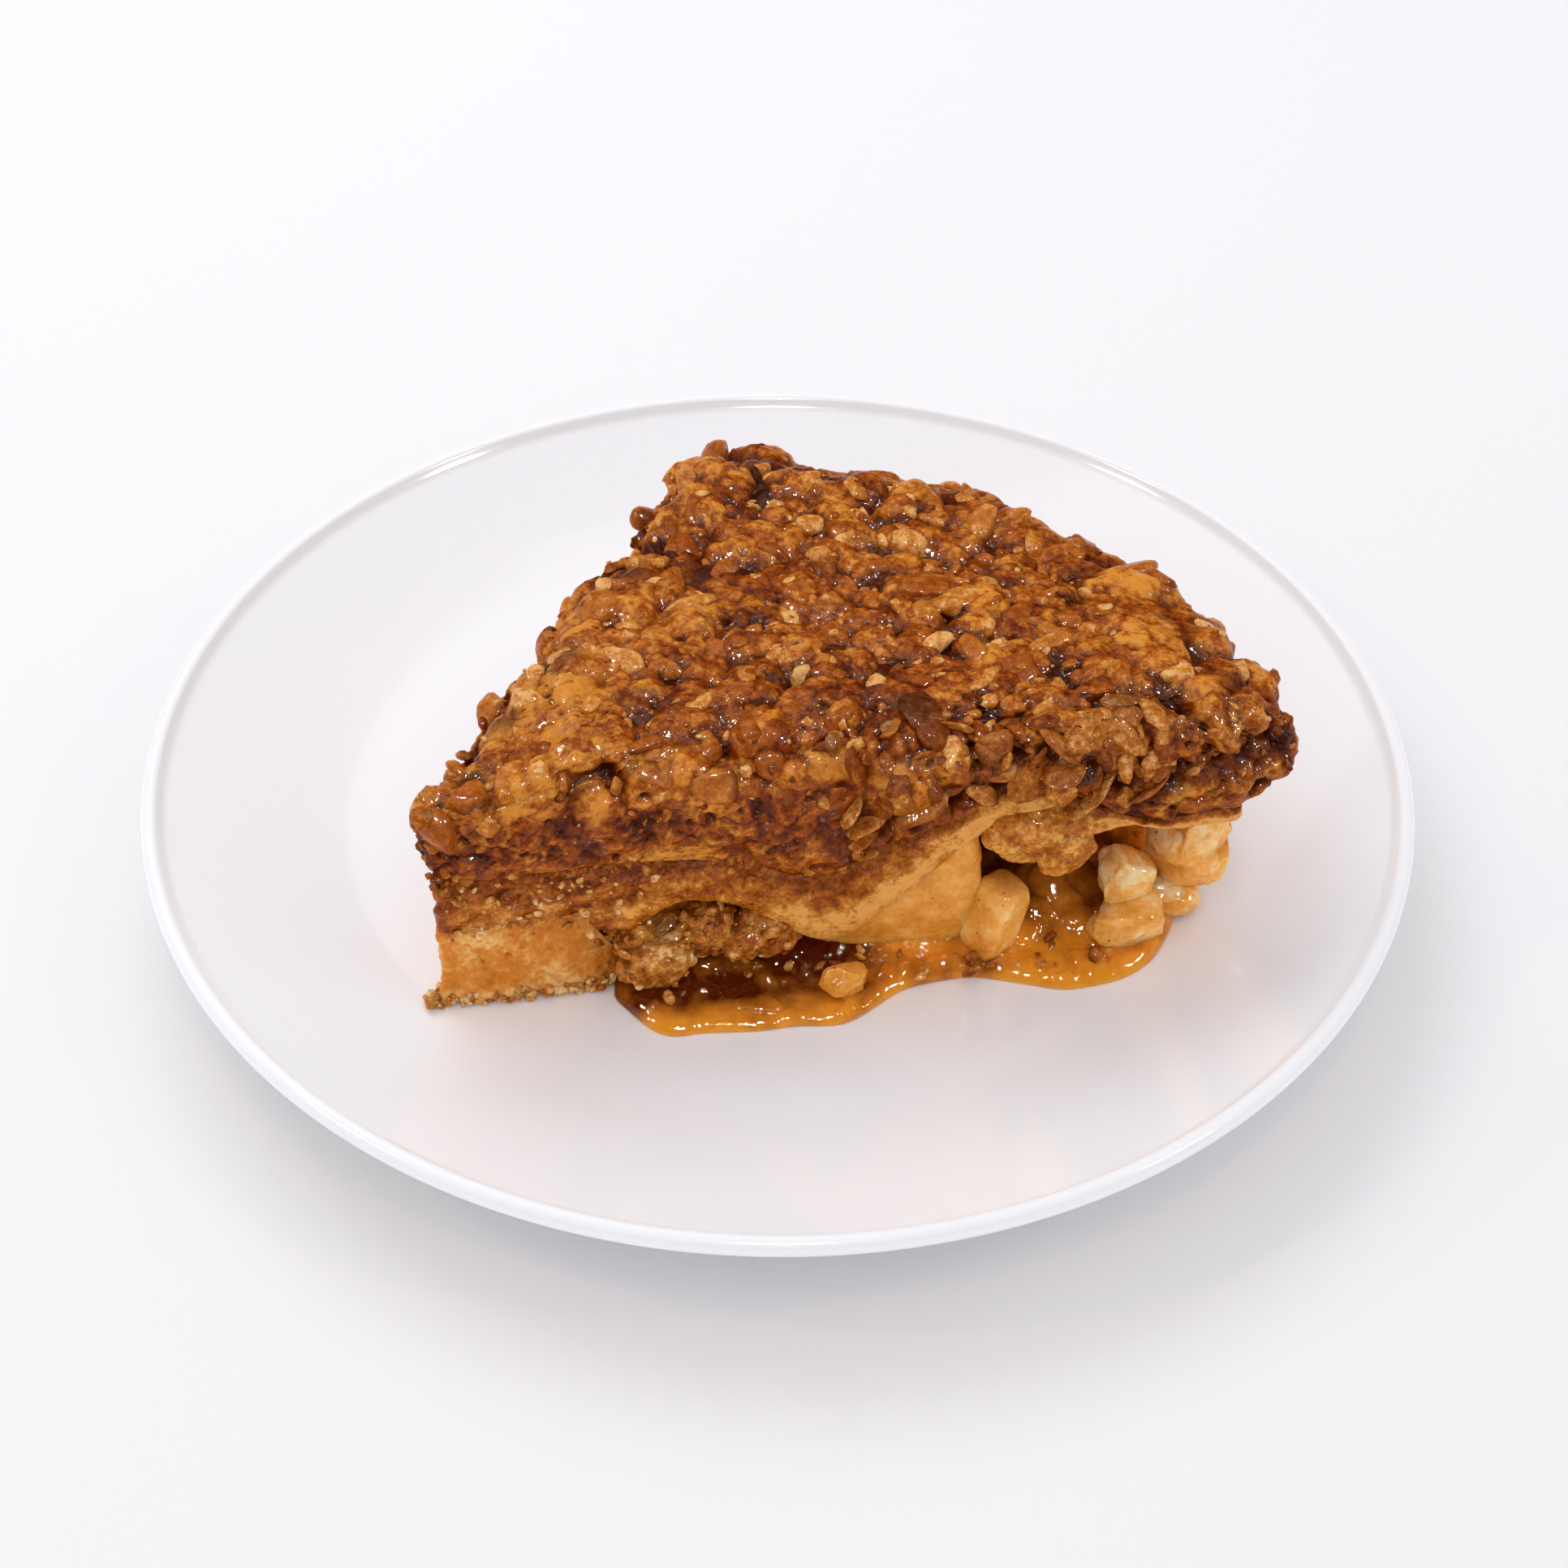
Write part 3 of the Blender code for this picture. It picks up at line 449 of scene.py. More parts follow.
def spread(points: Array, count: int, apart: float, seed: int) -> Array:
    """Pick numbers of points at random that stay a distance apart from each other.

    Args:
        points: Candidates, shape (n, 3).
        count: Most points to pick.
        apart: Smallest distance between them, in metres.
        seed: Seed of the order in which candidates are tried.

    Returns:
        Numbers of the picked points.
    """
    kept: list[int] = []
    for i in np.random.default_rng(seed).permutation(len(points)):
        if kept and np.min(np.sum((points[kept] - points[i]) ** 2, axis=1)) < apart**2:
            continue
        kept.append(int(i))
        if len(kept) == count:
            break
    return np.array(kept)


# ---- Plate and slice: the sizes that the solids were made from ----


@dataclass(frozen=True)
class PlateSizes:
    """Sizes of the coupe plate, in metres."""

    radius: float = 100 * MM
    height: float = 20 * MM
    lip: float = 1.5 * MM
    well_radius: float = 66 * MM
    well_level: float = 8.7 * MM
    wall_curve: float = 1.6
    thickness: float = 3.4 * MM
    foot_radius: float = 54 * MM
    foot_width: float = 4 * MM
    foot_draft: float = 1.2 * MM

    def surface(self, radius: Array) -> Array:
        """Return the upper face's height: flat, then a power curve up to the lip.

        Args:
            radius: Distances from the plate's axis.

        Returns:
            Heights.
        """
        span = self.radius - 2 * self.lip - self.well_radius
        rise = np.clip((radius - self.well_radius) / span, 0.0, 1.0)
        return self.well_level + (self.height - self.lip - self.well_level) * rise**self.wall_curve


@dataclass(frozen=True)
class Slice:
    """Outline and layer heights of the slice, shared by all its pieces."""

    plate: PlateSizes = PlateSizes()
    tip: tuple[float, float] = (-53 * MM, -47 * MM)
    turn: float = math.radians(8.9)
    angle: float = math.radians(56)
    pie_radius: float = 117.5 * MM
    pie_centre: tuple[float, float] = (18.5 * MM, -27 * MM)
    middle: tuple[float, float] = (74 * MM, 27 * MM)
    corner: float = 3.4 * MM
    lower_corner: float = 1.5 * MM
    gap: float = 0.35 * MM
    floor_top: float = 12.6 * MM
    block_top: float = 24.2 * MM
    block_end: tuple[float, float] = (24 * MM, 33 * MM)
    pastry_level: float = 24.6 * MM
    topping_level: float = 33.6 * MM
    top_level: float = 52 * MM
    ceiling: float = 55.4 * MM
    topping_bells: tuple = ((-6.0, 60, 6), (9.5, 88, 9), (-1.2, 107, 5))
    topping_fade: float = 17 * MM
    pastry_bells: tuple = ((-4.0, 31, 3.6), (1.5, 43, 5), (-10.0, 62, 7), (12.6, 90, 8))
    pastry_fade: float = 15 * MM
    pastry_rise: float = 6.4 * MM
    setback: tuple[float, float] = (0.8 * MM, 5.0 * MM)
    setback_span: tuple[float, float] = (24 * MM, 37 * MM)
    wall_foot: float = 105 * MM
    wall_top: float = 110 * MM
    wall_thickness: float = 4.5 * MM

    def world(self, points: Array) -> Array:
        """Return points of the slice's frame, shape (..., 3), in the row's frame.

        Args:
            points: Points (S, W, Z).

        Returns:
            Points (X, Y, Z).
        """
        s, w = points[..., 0], points[..., 1]
        x = self.tip[0] + s * math.cos(self.turn) - w * math.sin(self.turn)
        y = self.tip[1] + s * math.sin(self.turn) + w * math.cos(self.turn)
        return np.stack([x, y, points[..., 2]], axis=-1)

    def turned(self, vectors: Array) -> Array:
        """Return directions of the slice's frame, shape (..., 3), in the row's frame."""
        return self.world(vectors) - self.world(np.zeros(3))

    def floor(self, s: Array, w: Array) -> Array:
        """Return the plate's height under a point, plus the gap that food keeps to it."""
        flat = self.world(np.stack([s, w, np.zeros_like(s)], axis=-1))
        return self.plate.surface(np.hypot(flat[..., 0], flat[..., 1])) + self.gap

    def ripple(self, s: Array, w: Array) -> Array:
        """Return the slow unevenness of all layers: a product of two sines.

        Args:
            s: Distances along the front cut.
            w: Distances behind it.

        Returns:
            Heights.
        """
        across = np.sin(2 * math.pi * (s + 0.6 * w) / (47 * MM) + 0.9)
        back = np.sin(2 * math.pi * (w - 0.3 * s) / (39 * MM))
        return 0.7 * MM * across * back

    def front_bells(self, s: Array, w: Array, bells: Sequence, fade: float) -> Array:
        """Return a sum of bells along the front cut that fades towards the back."""
        total = sum(height * MM * bump(s, at * MM, width * MM) for height, at, width in bells)
        return total * np.exp(-np.maximum(w, 0) / fade)

    def topping_base(self, s: Array, w: Array) -> Array:
        """Return the topping's underside: it sags at the front, then arches high."""
        front = self.front_bells(s, w, self.topping_bells, self.topping_fade)
        return self.topping_level + front + self.ripple(s, w)

    def pastry_base(self, s: Array, w: Array) -> Array:
        """Return the pastry layer's underside, which rises at the right and the rim.

        Args:
            s: Distances along the front cut.
            w: Distances behind it.

        Returns:
            Heights.
        """
        front = self.front_bells(s, w, self.pastry_bells, self.pastry_fade)
        right = smoothstep(98 * MM, 108 * MM, s)
        reach = np.hypot(s - self.pie_centre[0], w - self.pie_centre[1])
        rim = smoothstep(self.wall_foot - 14 * MM, self.wall_foot - 3 * MM, reach)
        rise = self.pastry_rise * np.maximum(right, rim)
        return self.pastry_level + front + rise + self.ripple(s, w)

    def crust_top(self, s: Array, w: Array) -> Array:
        """Return the crust's upper face: a block round the tip, then a thin floor.

        Args:
            s: Distances along the front cut.
            w: Distances behind it.

        Returns:
            Heights.
        """
        block = falloff(self.block_end[0], self.block_end[1], np.hypot(s, w))
        dip = np.minimum(self.pastry_base(s, w) - self.pastry_level, 0.0) * block
        rise = (self.block_top - self.floor_top) * block
        return self.floor_top + rise + dip + self.ripple(s, w) * block

    def topping_top(self, s: Array, w: Array) -> Array:
        """Return the topping's mean upper face: low at the tip, swollen at the right.

        Args:
            s: Distances along the front cut.
            w: Distances behind it.

        Returns:
            Heights.
        """
        tip = -4.0 * MM * falloff(0.0, 38 * MM, s)
        swell = 2.2 * MM * bump(s, 100 * MM, 22 * MM) * np.exp(-np.maximum(w, 0) / (40 * MM))
        back = -1.5 * MM * smoothstep(45 * MM, 85 * MM, w)
        return self.top_level + tip + swell + back + 1.6 * self.ripple(s, w)

    def lower_front(self, s: Array) -> Array:
        """Return how far the crust and the filling lie behind the front cut."""
        near, far = self.setback
        return near + (far - near) * smoothstep(self.setback_span[0], self.setback_span[1], s)

    def wedge(
        self,
        samples: tuple[int, int, int],
        radius: float,
        front_inset: float | Callable[[Array], Array],
        left_inset: float,
        rounding: float,
    ) -> tuple[Array, Array]:
        """Return a wedge outline, counter-clockwise from the tip: line, arc and line.

        Args:
            samples: Points along the front cut, the rim and the left cut.
            radius: Radius of the rim about the pie's centre.
            front_inset: Distance behind the front cut, a number or a function of S.
            left_inset: Distance inside the left cut.
            rounding: Width of the moving average that rounds the corners.

        Returns:
            The outline in (S, W), and a mask that is 1 along the rim.
        """
        inset = front_inset if callable(front_inset) else (lambda s: s * 0 + front_inset)
        along = np.array((math.cos(self.angle), math.sin(self.angle)))
        into = np.array((along[1], -along[0]))
        centre = np.array(self.pie_centre)
        tip_w = float(inset(np.zeros(1))[0])
        tip = np.array(((left_inset + tip_w * along[0]) / along[1], tip_w))
        right_w = float(inset(np.array([radius]))[0])
        right_s = centre[0] + math.sqrt(radius**2 - (right_w - centre[1]) ** 2)
        begin = into * left_inset - centre
        half = begin @ along
        corner = into * left_inset
        corner = corner + along * (-half + math.sqrt(half**2 - begin @ begin + radius**2))
        front_s = np.linspace(tip[0], right_s, samples[0], endpoint=False)
        front = np.stack([front_s, inset(front_s)], axis=1)
        first = math.atan2(right_w - centre[1], right_s - centre[0])
        last = math.atan2(corner[1] - centre[1], corner[0] - centre[0])
        arc = np.linspace(first, last, samples[1], endpoint=False)
        rim = centre + radius * np.stack([np.cos(arc), np.sin(arc)], axis=1)
        ring = np.vstack([front, rim, np.linspace(corner, tip, samples[2], endpoint=False)])
        mask = np.zeros(len(ring))
        mask[samples[0] : samples[0] + samples[1]] = 1.0
        return smooth_ring(ring, rounding), smooth_ring(mask[:, None], rounding, ring)[:, 0]

    def toward(self, ring: Array, share: float | Array) -> Array:
        """Return a ring shrunk towards the slice's middle to a share of its size."""
        centre = np.array(self.middle)
        return centre + (ring - centre) * np.reshape(share, (-1, 1))

    def lift(self, ring: Array, height: float | Array | Height) -> Array:
        """Return a flat ring with heights: a number, an array or a function of (S, W).

        Args:
            ring: Points (S, W), shape (n, 2).
            height: Their heights.

        Returns:
            Points of shape (n, 3).
        """
        if callable(height):
            height = height(*ring.T)
        return np.column_stack([ring, np.broadcast_to(height, len(ring))])


# ---- Finishes ----


def linear(code: str) -> tuple[float, float, float, float]:
    """Turn an sRGB hex colour into a linear one with alpha 1.

    Args:
        code: Colour as #RRGGBB.

    Returns:
        Linear red, green and blue, and alpha.
    """
    parts = [int(code[i : i + 2], 16) / 255 for i in (1, 3, 5)]
    parts = [c / 12.92 if c <= 0.04045 else ((c + 0.055) / 1.055) ** 2.4 for c in parts]
    return (*parts, 1.0)


def fill(node: bpy.types.Node, inputs: dict) -> None:
    """Link sockets to a node's inputs, by name or number, and set the other values.

    Args:
        node: Node whose inputs are filled.
        inputs: Values or sockets, by the input's name or number.
    """
    for key, value in inputs.items():
        if isinstance(value, Socket):
            node.id_data.links.new(value, node.inputs[key])
        else:
            node.inputs[key].default_value = value


def add_node(
    tree: bpy.types.NodeTree,
    kind: str,
    inputs: dict | None = None,
    stops: Sequence[tuple[float, str]] = (),
    **settings: object,
) -> bpy.types.Node:
    """Add a node with its settings and fill its inputs.

    Args:
        tree: Node tree that takes the node.
        kind: Type of the node.
        inputs: Values or sockets to link, by the input's name or number.
        stops: Places and hex colours of a colour ramp.
        **settings: Properties of the node.

    Returns:
        The node.
    """
    made = tree.nodes.new(kind)
    for key, value in settings.items():
        setattr(made, key, value)
    fill(made, inputs or {})
    if stops:
        ramp = made.color_ramp
        while len(ramp.elements) < len(stops):
            ramp.elements.new(0.5)
        for element, (place, code) in zip(ramp.elements, stops):
            element.position = place
            element.color = linear(code)
    return made


class Graph:
    """A new Principled material, with short ways to add what the finishes share."""

    def __init__(self, name: str) -> None:
        """Start the material under a name."""
        self.finish = bpy.data.materials.new(name)
        self.finish.use_nodes = True
        self.tree = self.finish.node_tree
        self.place = add_node(self.tree, "ShaderNodeTexCoord").outputs["Object"]

    def number(self, name: str) -> Socket:
        """Return a number that the mesh carries."""
        return add_node(self.tree, "ShaderNodeAttribute", attribute_name=name).outputs["Fac"]

    def noise(self, scale: float, detail: float = 2.0, rough: float = 0.5) -> Socket:
        """Return noise with a scale in features for each metre."""
        inputs = {"Vector": self.place, "Scale": scale, "Detail": detail, "Roughness": rough}
        return add_node(self.tree, "ShaderNodeTexNoise", inputs).outputs[0]

    def remap(
        self, value: Socket, low: float, high: float, to_low: float = 0.0, to_high: float = 1.0
    ) -> Socket:
        """Return a number moved from one range to another and clamped to it."""
        inputs = {0: value, 1: low, 2: high, 3: to_low, 4: to_high}
        return add_node(self.tree, "ShaderNodeMapRange", inputs).outputs[0]

    def combine(self, operation: str, first: Socket, second: Socket, clamp: bool = False) -> Socket:
        """Return the result of an operation on two numbers.

        Args:
            operation: Name of the operation.
            first: First number.
            second: Second number.
            clamp: Whether the result is kept between 0 and 1.

        Returns:
            The result.
        """
        inputs = {0: first, 1: second}
        made = add_node(self.tree, "ShaderNodeMath", inputs, operation=operation, use_clamp=clamp)
        return made.outputs[0]

    def mix(self, share: Socket, first: Socket | tuple, second: tuple) -> Socket:
        """Return the first colour, with a share of the second."""
        inputs = {0: share, 6: first, 7: second}
        return add_node(self.tree, "ShaderNodeMix", inputs, data_type="RGBA").outputs[2]

    def relief(self, height: Socket, strength: float, depth: float) -> Socket:
        """Return the normal of a fine relief of a depth in metres."""
        inputs = {"Height": height, "Strength": strength, "Distance": depth}
        return add_node(self.tree, "ShaderNodeBump", inputs).outputs[0]

    def shade(self, inputs: dict) -> Material:
        """Fill the shader's inputs and return the material."""
        fill(self.tree.nodes["Principled BSDF"], inputs)
        return self.finish


@dataclass(frozen=True)
class GlazedPorcelain:
    """Porcelain dipped in clear glaze: white, glassy, with a faint orange-peel waviness.

    The foot ring is wiped free of glaze before firing, so it is matte.
    """

    body: str = "#FDFEFF"
    foot: str = "#E6E1D8"
    foot_level: float = 0.7 * MM
    peel: float = 7 * MM

    def build(self) -> Material:
        """Return the material."""
        graph = Graph("glazed_porcelain")
        split = add_node(graph.tree, "ShaderNodeSeparateXYZ", {0: graph.place})
        bare = graph.remap(split.outputs["Z"], self.foot_level, self.foot_level * 0.6)
        waves = graph.noise(1 / self.peel, 1.0)
        return graph.shade({
            "Base Color": graph.mix(bare, linear(self.body), linear(self.foot)),
            "Roughness": graph.remap(bare, 0.0, 1.0, 0.09, 0.6),
            "Normal": graph.relief(waves, 0.12, 0.12 * MM),
            "IOR": 1.5,
        })


@dataclass(frozen=True)
class BakedFood:
    """A baked surface: colours by lump, crevices darkened by browning and painted shade, fine grain
    and a broken glaze.

    The mesh gives three numbers at each corner: tone picks the colour of a lump, seam is
    1 in the crevices, where syrup browned and where painted shade darkens them, and patch mixes in
    a second colour.

    Attributes:
        name: Common name of the finish.
        colours: Ramp over tone.
        seam: Colour of the crevices: browned syrup with painted shade over it.
        patch: Colour of the patches.
        grain: Width of the finest grain in millimetres.
        mottle: Width of the colour mottling in millimetres.
        mottle_share: How far the mottling moves the tone.
        relief: Depth of the grain in millimetres.
        gloss: Roughness of the glaze and of the bare surface.
        bead: Width of the beads of its clear glaze in millimetres.
        coat: Share of the surface that the glaze covers.
        shine: Strength of the shader's own gloss, 0.5 being that of clear plastic.
        glow: Share of light that scatters below the surface.
        glow_reach: How far that light travels, in millimetres, for red, green and blue.
        specks: Colour, size in millimetres and share of dark specks, or none.
    """

    name: str
    colours: tuple[tuple[float, str], ...]
    seam: str
    patch: str
    grain: float = 0.5
    mottle: float = 2.5
    mottle_share: float = 0.35
    relief: float = 0.25
    gloss: tuple[float, float] = (0.25, 0.5)
    bead: float = 1.2
    coat: float = 0.2
    shine: float = 0.1
    glow: float = 0.15
    glow_reach: Triple = (2.0, 0.9, 0.4)
    specks: tuple[str, float, float] | None = None

    def build(self) -> Material:
        """Return the material."""
        graph = Graph(self.name)
        mottle = graph.noise(1000 / self.mottle, 3.0, 0.6)
        grain = graph.noise(1000 / self.grain, 2.0, 0.55)
        broad = graph.remap(mottle, 0.25, 0.75, -self.mottle_share, self.mottle_share)
        moved = graph.combine("ADD", broad, graph.remap(grain, 0.3, 0.7, -0.12, 0.12))
        level = graph.combine("ADD", graph.number("tone"), moved, clamp=True)
        base = add_node(graph.tree, "ShaderNodeValToRGB", {0: level}, stops=self.colours)
        colour = graph.mix(graph.number("patch"), base.outputs[0], linear(self.patch))
        # Crevices take the dark seam colour: browned syrup, and painted shade where light does not
        # reach.
        colour = graph.mix(graph.number("seam"), colour, linear(self.seam))
        if self.specks:
            colour = self.speckle(graph, colour)
        # The glaze is uneven on its own, so it breaks a lamp into small sharp glints.
        beads = graph.noise(1000 / self.bead, 1.0)
        height = graph.combine("ADD", mottle, grain)
        return graph.shade({
            "Base Color": colour,
            "Roughness": graph.remap(mottle, 0.35, 0.65, *self.gloss),
            "Normal": graph.relief(height, 0.9, self.relief * MM),
            "IOR": 1.45,
            "Specular IOR Level": self.shine,
            "Coat Weight": self.coat,
            "Coat Roughness": 0.09,
            "Coat Normal": graph.relief(beads, 1.0, 0.12 * MM),
            "Subsurface Weight": self.glow,
            "Subsurface Radius": self.glow_reach,
            "Subsurface Scale": MM,
        })

    def speckle(self, graph: Graph, colour: Socket) -> Socket:
        """Scatter small dark specks of spice over a colour.

        Args:
            graph: Graph of the finish.
            colour: The colour without specks.

        Returns:
            The colour with specks.
        """
        code, size, share = self.specks
        inputs = {"Vector": graph.place, "Scale": 1000 / (size * 6)}
        spots = add_node(graph.tree, "ShaderNodeTexVoronoi", inputs)
        chance = add_node(graph.tree, "ShaderNodeSeparateColor", {0: spots.outputs["Color"]})
        radius = graph.remap(chance.outputs[0], 1.0 - share, 1.0, 0.0, 0.16)
        inside = graph.combine("SUBTRACT", radius, spots.outputs["Distance"])
        return graph.mix(graph.remap(inside, 0.0, 0.04), colour, linear(code))


@dataclass(frozen=True)
class AmberSyrup:
    """Juice and sugar boiled to a syrup: deep amber, glossy, with fine cloudy pulp."""

    thin: str = "#FFA02E"
    deep: str = "#5C1C01"
    pulp: float = 5 * MM
    bead: float = 1.8 * MM

    def build(self) -> Material:
        """Return the material."""
        graph = Graph("boiled_amber_syrup")
        clouds = graph.remap(graph.noise(1 / self.pulp, 4.0), 0.3, 0.7, -0.3, 0.3)
        level = graph.combine("ADD", graph.number("tone"), clouds, clamp=True)
        return graph.shade({
            "Base Color": graph.mix(level, linear(self.thin), linear(self.deep)),
            "Normal": graph.relief(graph.noise(1 / self.bead), 0.8, 0.35 * MM),
            "Roughness": 0.06,
            "IOR": 1.46,
            "Subsurface Weight": 0.5,
            "Subsurface Radius": (4.0, 1.4, 0.3),
            "Subsurface Scale": MM,
        })


@dataclass(frozen=True)
class StudioPaper:
    """Smooth white paper sweep: matte, with a faint fibre."""

    colour: str = "#F0EFF0"

    def build(self) -> Material:
        """Return the material."""
        graph = Graph("white_paper_sweep")
        fibre = graph.relief(graph.noise(900.0), 0.05, 0.1 * MM)
        return graph.shade({"Base Color": linear(self.colour), "Roughness": 0.9, "Normal": fibre})


# Caramel over nuts: dark amber where it ran together, golden on the nuts, wet glints; its crevices
# also carry painted shade.
CARAMELISED_TOPPING = BakedFood(
    "caramelised_nut_topping",
    ((0.0, "#561B00"), (0.3, "#823602"), (0.6, "#AB5405"), (1.0, "#E09030")),
    "#3C0F00", "#501C06", mottle=1.5, mottle_share=0.4,
)
# Toasted nut: paler and warmer than the caramel round it, with a thin shiny skin.
TOASTED_NUT = BakedFood(
    "toasted_chopped_nut",
    ((0.0, "#782E01"), (0.4, "#A45008"), (0.75, "#C87822"), (1.0, "#EEB268")),
    "#3C0F00", "#501C06", mottle=1.6, mottle_share=0.3, relief=0.18, coat=0.26, glow=0.2,
)
# Broken topping: drier and rougher than the glazed top, with painted shade in the gaps between
# flakes.
BROKEN_TOPPING = BakedFood(
    "broken_nut_topping",
    ((0.0, "#5C2001"), (0.4, "#8E4206"), (0.75, "#BA6E1E"), (1.0, "#E6A85E")),
    "#2C0A00", "#501C06", 0.45, 1.3, 0.34, 0.28, (0.35, 0.6), coat=0.1,
)
# Soft pastry: moist tan crumb in streaks, flecked with spice.
SOFT_PASTRY = BakedFood(
    "soft_baked_pastry",
    ((0.0, "#662802"), (0.35, "#994B08"), (0.7, "#C2741C"), (1.0, "#EAA852")),
    "#4E1E04", "#76380A", 0.6, 2.4, 0.4, gloss=(0.3, 0.5), glow=0.3,
    specks=("#341503", 0.3, 0.16),
)
# Short crust: pale gold, sandy and nearly matte.
SHORT_CRUST = BakedFood(
    "short_crust",
    ((0.0, "#9E5008"), (0.35, "#C26C14"), (0.7, "#DA8C30"), (1.0, "#F6C478")),
    "#8A440C", "#AE601A", 0.7, 2.4, 0.24, gloss=(0.35, 0.6), coat=0.15, glow=0.35,
)
# Cooked filling: brown pulp soaked in syrup, so it is dark and wet.
COOKED_FILLING = BakedFood(
    "cooked_apple_filling",
    ((0.0, "#6C2402"), (0.35, "#9A4408"), (0.7, "#C87414"), (1.0, "#F0A03C")),
    "#3C1001", "#7A2C02", 0.8, 3.5, relief=0.3, gloss=(0.1, 0.25), coat=0.4, glow=0.35,
)
# Stewed apple: pale, smooth and juicy, and light shines through its edges.
STEWED_APPLE = BakedFood(
    "stewed_apple_flesh",
    ((0.0, "#C8741A"), (0.35, "#E29838"), (0.7, "#F8B85E"), (1.0, "#FFE2AC")),
    "#B8660F", "#C8740C", 0.9, 4.0, 0.25, 0.12, (0.15, 0.3), coat=0.3, glow=0.5,
    glow_reach=(3.5, 1.6, 0.5), specks=("#4A2204", 0.3, 0.5),
)
# Soaked crumb: crumbs of pastry under a film of syrup, in mixed browns.
GLAZED_CRUMB = BakedFood(
    "syrup_soaked_pastry_crumb",
    ((0.0, "#6E2A04"), (0.35, "#A2540E"), (0.7, "#CC8630"), (1.0, "#F6C888")),
    "#481A02", "#8A4206", mottle=1.8, mottle_share=0.4, coat=0.22, glow=0.3,
)


# ---- Pieces ----


@dataclass
class Plate:
    """White glazed coupe plate, turned about Z.

    Attributes:
        sizes: Sizes of the plate.
        around: Corners round the plate.
        wall_points: Corners up the wall, and down its underside.
        lip_points: Corners over the lip.
    """

    sizes: PlateSizes
    around: int = 288
    wall_points: int = 28
    lip_points: int = 17

    def profile(self) -> Array:
        """Return the outline from the middle of the well round the lip to the underside.

        The well is flat, the wall is a power curve, the lip is an arc and the foot ring
        is a trapezoid with rounded corners.

        Returns:
            Points (radius, height).
        """
        p = self.sizes
        wall_end = p.radius - 2 * p.lip
        well = np.linspace(1.0, 65.0, 17) * MM
        radii = np.concatenate([well, np.linspace(p.well_radius, wall_end, self.wall_points)])
        top = np.column_stack([radii, p.surface(radii)])
        middle = np.array((p.radius - p.lip, p.height - p.lip))
        arc = np.radians(np.linspace(135, -60, self.lip_points))
        lip = middle + p.lip * np.column_stack([np.cos(arc), np.sin(arc)])
        share = np.linspace(0.86, 0.0, self.wall_points)
        radii = p.well_radius + (wall_end - p.well_radius) * share
        under = np.column_stack([radii, p.surface(radii) - p.thickness * (1.0 - 0.25 * share)])
        outer = p.foot_radius + p.foot_width / 2
        inner = p.foot_radius - p.foot_width / 2
        below = p.well_level - p.thickness
        foot = np.array((
            (outer + 3.4 * MM, below),
            (outer + 1.6 * p.foot_draft, below - 0.5 * MM),
            (outer + 0.7 * p.foot_draft, below - 1.6 * MM),
            (outer, 0.5 * MM),
            (outer - 0.2 * MM, 0.15 * MM),
            (outer - 0.6 * MM, 0.0),
            (inner + 0.6 * MM, 0.0),
            (inner + 0.2 * MM, 0.15 * MM),
            (inner, 0.5 * MM),
            (inner - 0.5 * p.foot_draft, below - 1.2 * MM),
            (inner - p.foot_draft - 0.6 * MM, below - 0.2 * MM),
            (inner - p.foot_draft - 2.0 * MM, below),
            (1.0 * MM, below),
        ))
        return np.vstack([top, lip, under, foot])

    def build(self, finish: Material) -> None:
        """Turn the profile about Z and make the piece.

        Args:
            finish: Its material.
        """
        profile = self.profile()[::-1]
        turn = np.linspace(0, 2 * math.pi, self.around, endpoint=False)
        wheel = np.column_stack([np.cos(turn), np.sin(turn)])
        rings = [np.column_stack([wheel * r, np.full(self.around, z)]) for r, z in profile]
        poles = np.array([(0.0, 0.0, profile[0][1]), (0.0, 0.0, profile[-1][1])])
        form = Form(np.vstack([*rings, poles]), loft_faces(len(rings), self.around))
        form.piece("porcelain_plate", finish, Slot.PORCELAIN, ["plate"])


@dataclass
class Layer:
    """A layer of the slice as a closed loft that a subclass makes.

    A subclass also gives the label of the piece, its slot and the node it stands for.

    Attributes:
        cut: The slice's outline and heights.
    """

    cut: Slice
    label = ""
    slot = Slot.CRUST
    node = ""

    def close(self, grid: Array, base: Height, top: Height, **values: Array) -> Form:
        """Close rings into a form in the row's frame.

        Args:
            grid: Rings in the slice's frame, shape (rings, points, 3).
            base: Height of the underside, where it closes at the slice's middle.
            top: Height of the upper face there.
            **values: Numbers at the corners.

        Returns:
            The closed form.
        """
        pole = np.array([self.cut.middle])
        ends = [self.cut.lift(pole, base), self.cut.lift(pole, top)]
        points = np.vstack([grid.reshape(-1, 3), *ends])
        numbers = {}
        for name, value in values.items():
            rows = np.reshape(value, grid.shape[:2])
            numbers[name] = np.concatenate([rows.ravel(), [rows[0].mean(), rows[-1].mean()]])
        return Form(self.cut.world(points), loft_faces(*grid.shape[:2]), numbers)

    def make(self) -> Form:
        """Return the layer's form, which each subclass works out."""
        raise NotImplementedError

    def build(self, finish: Material) -> None:
        """Make the piece."""
        self.make().piece(self.label, finish, self.slot, [self.node])


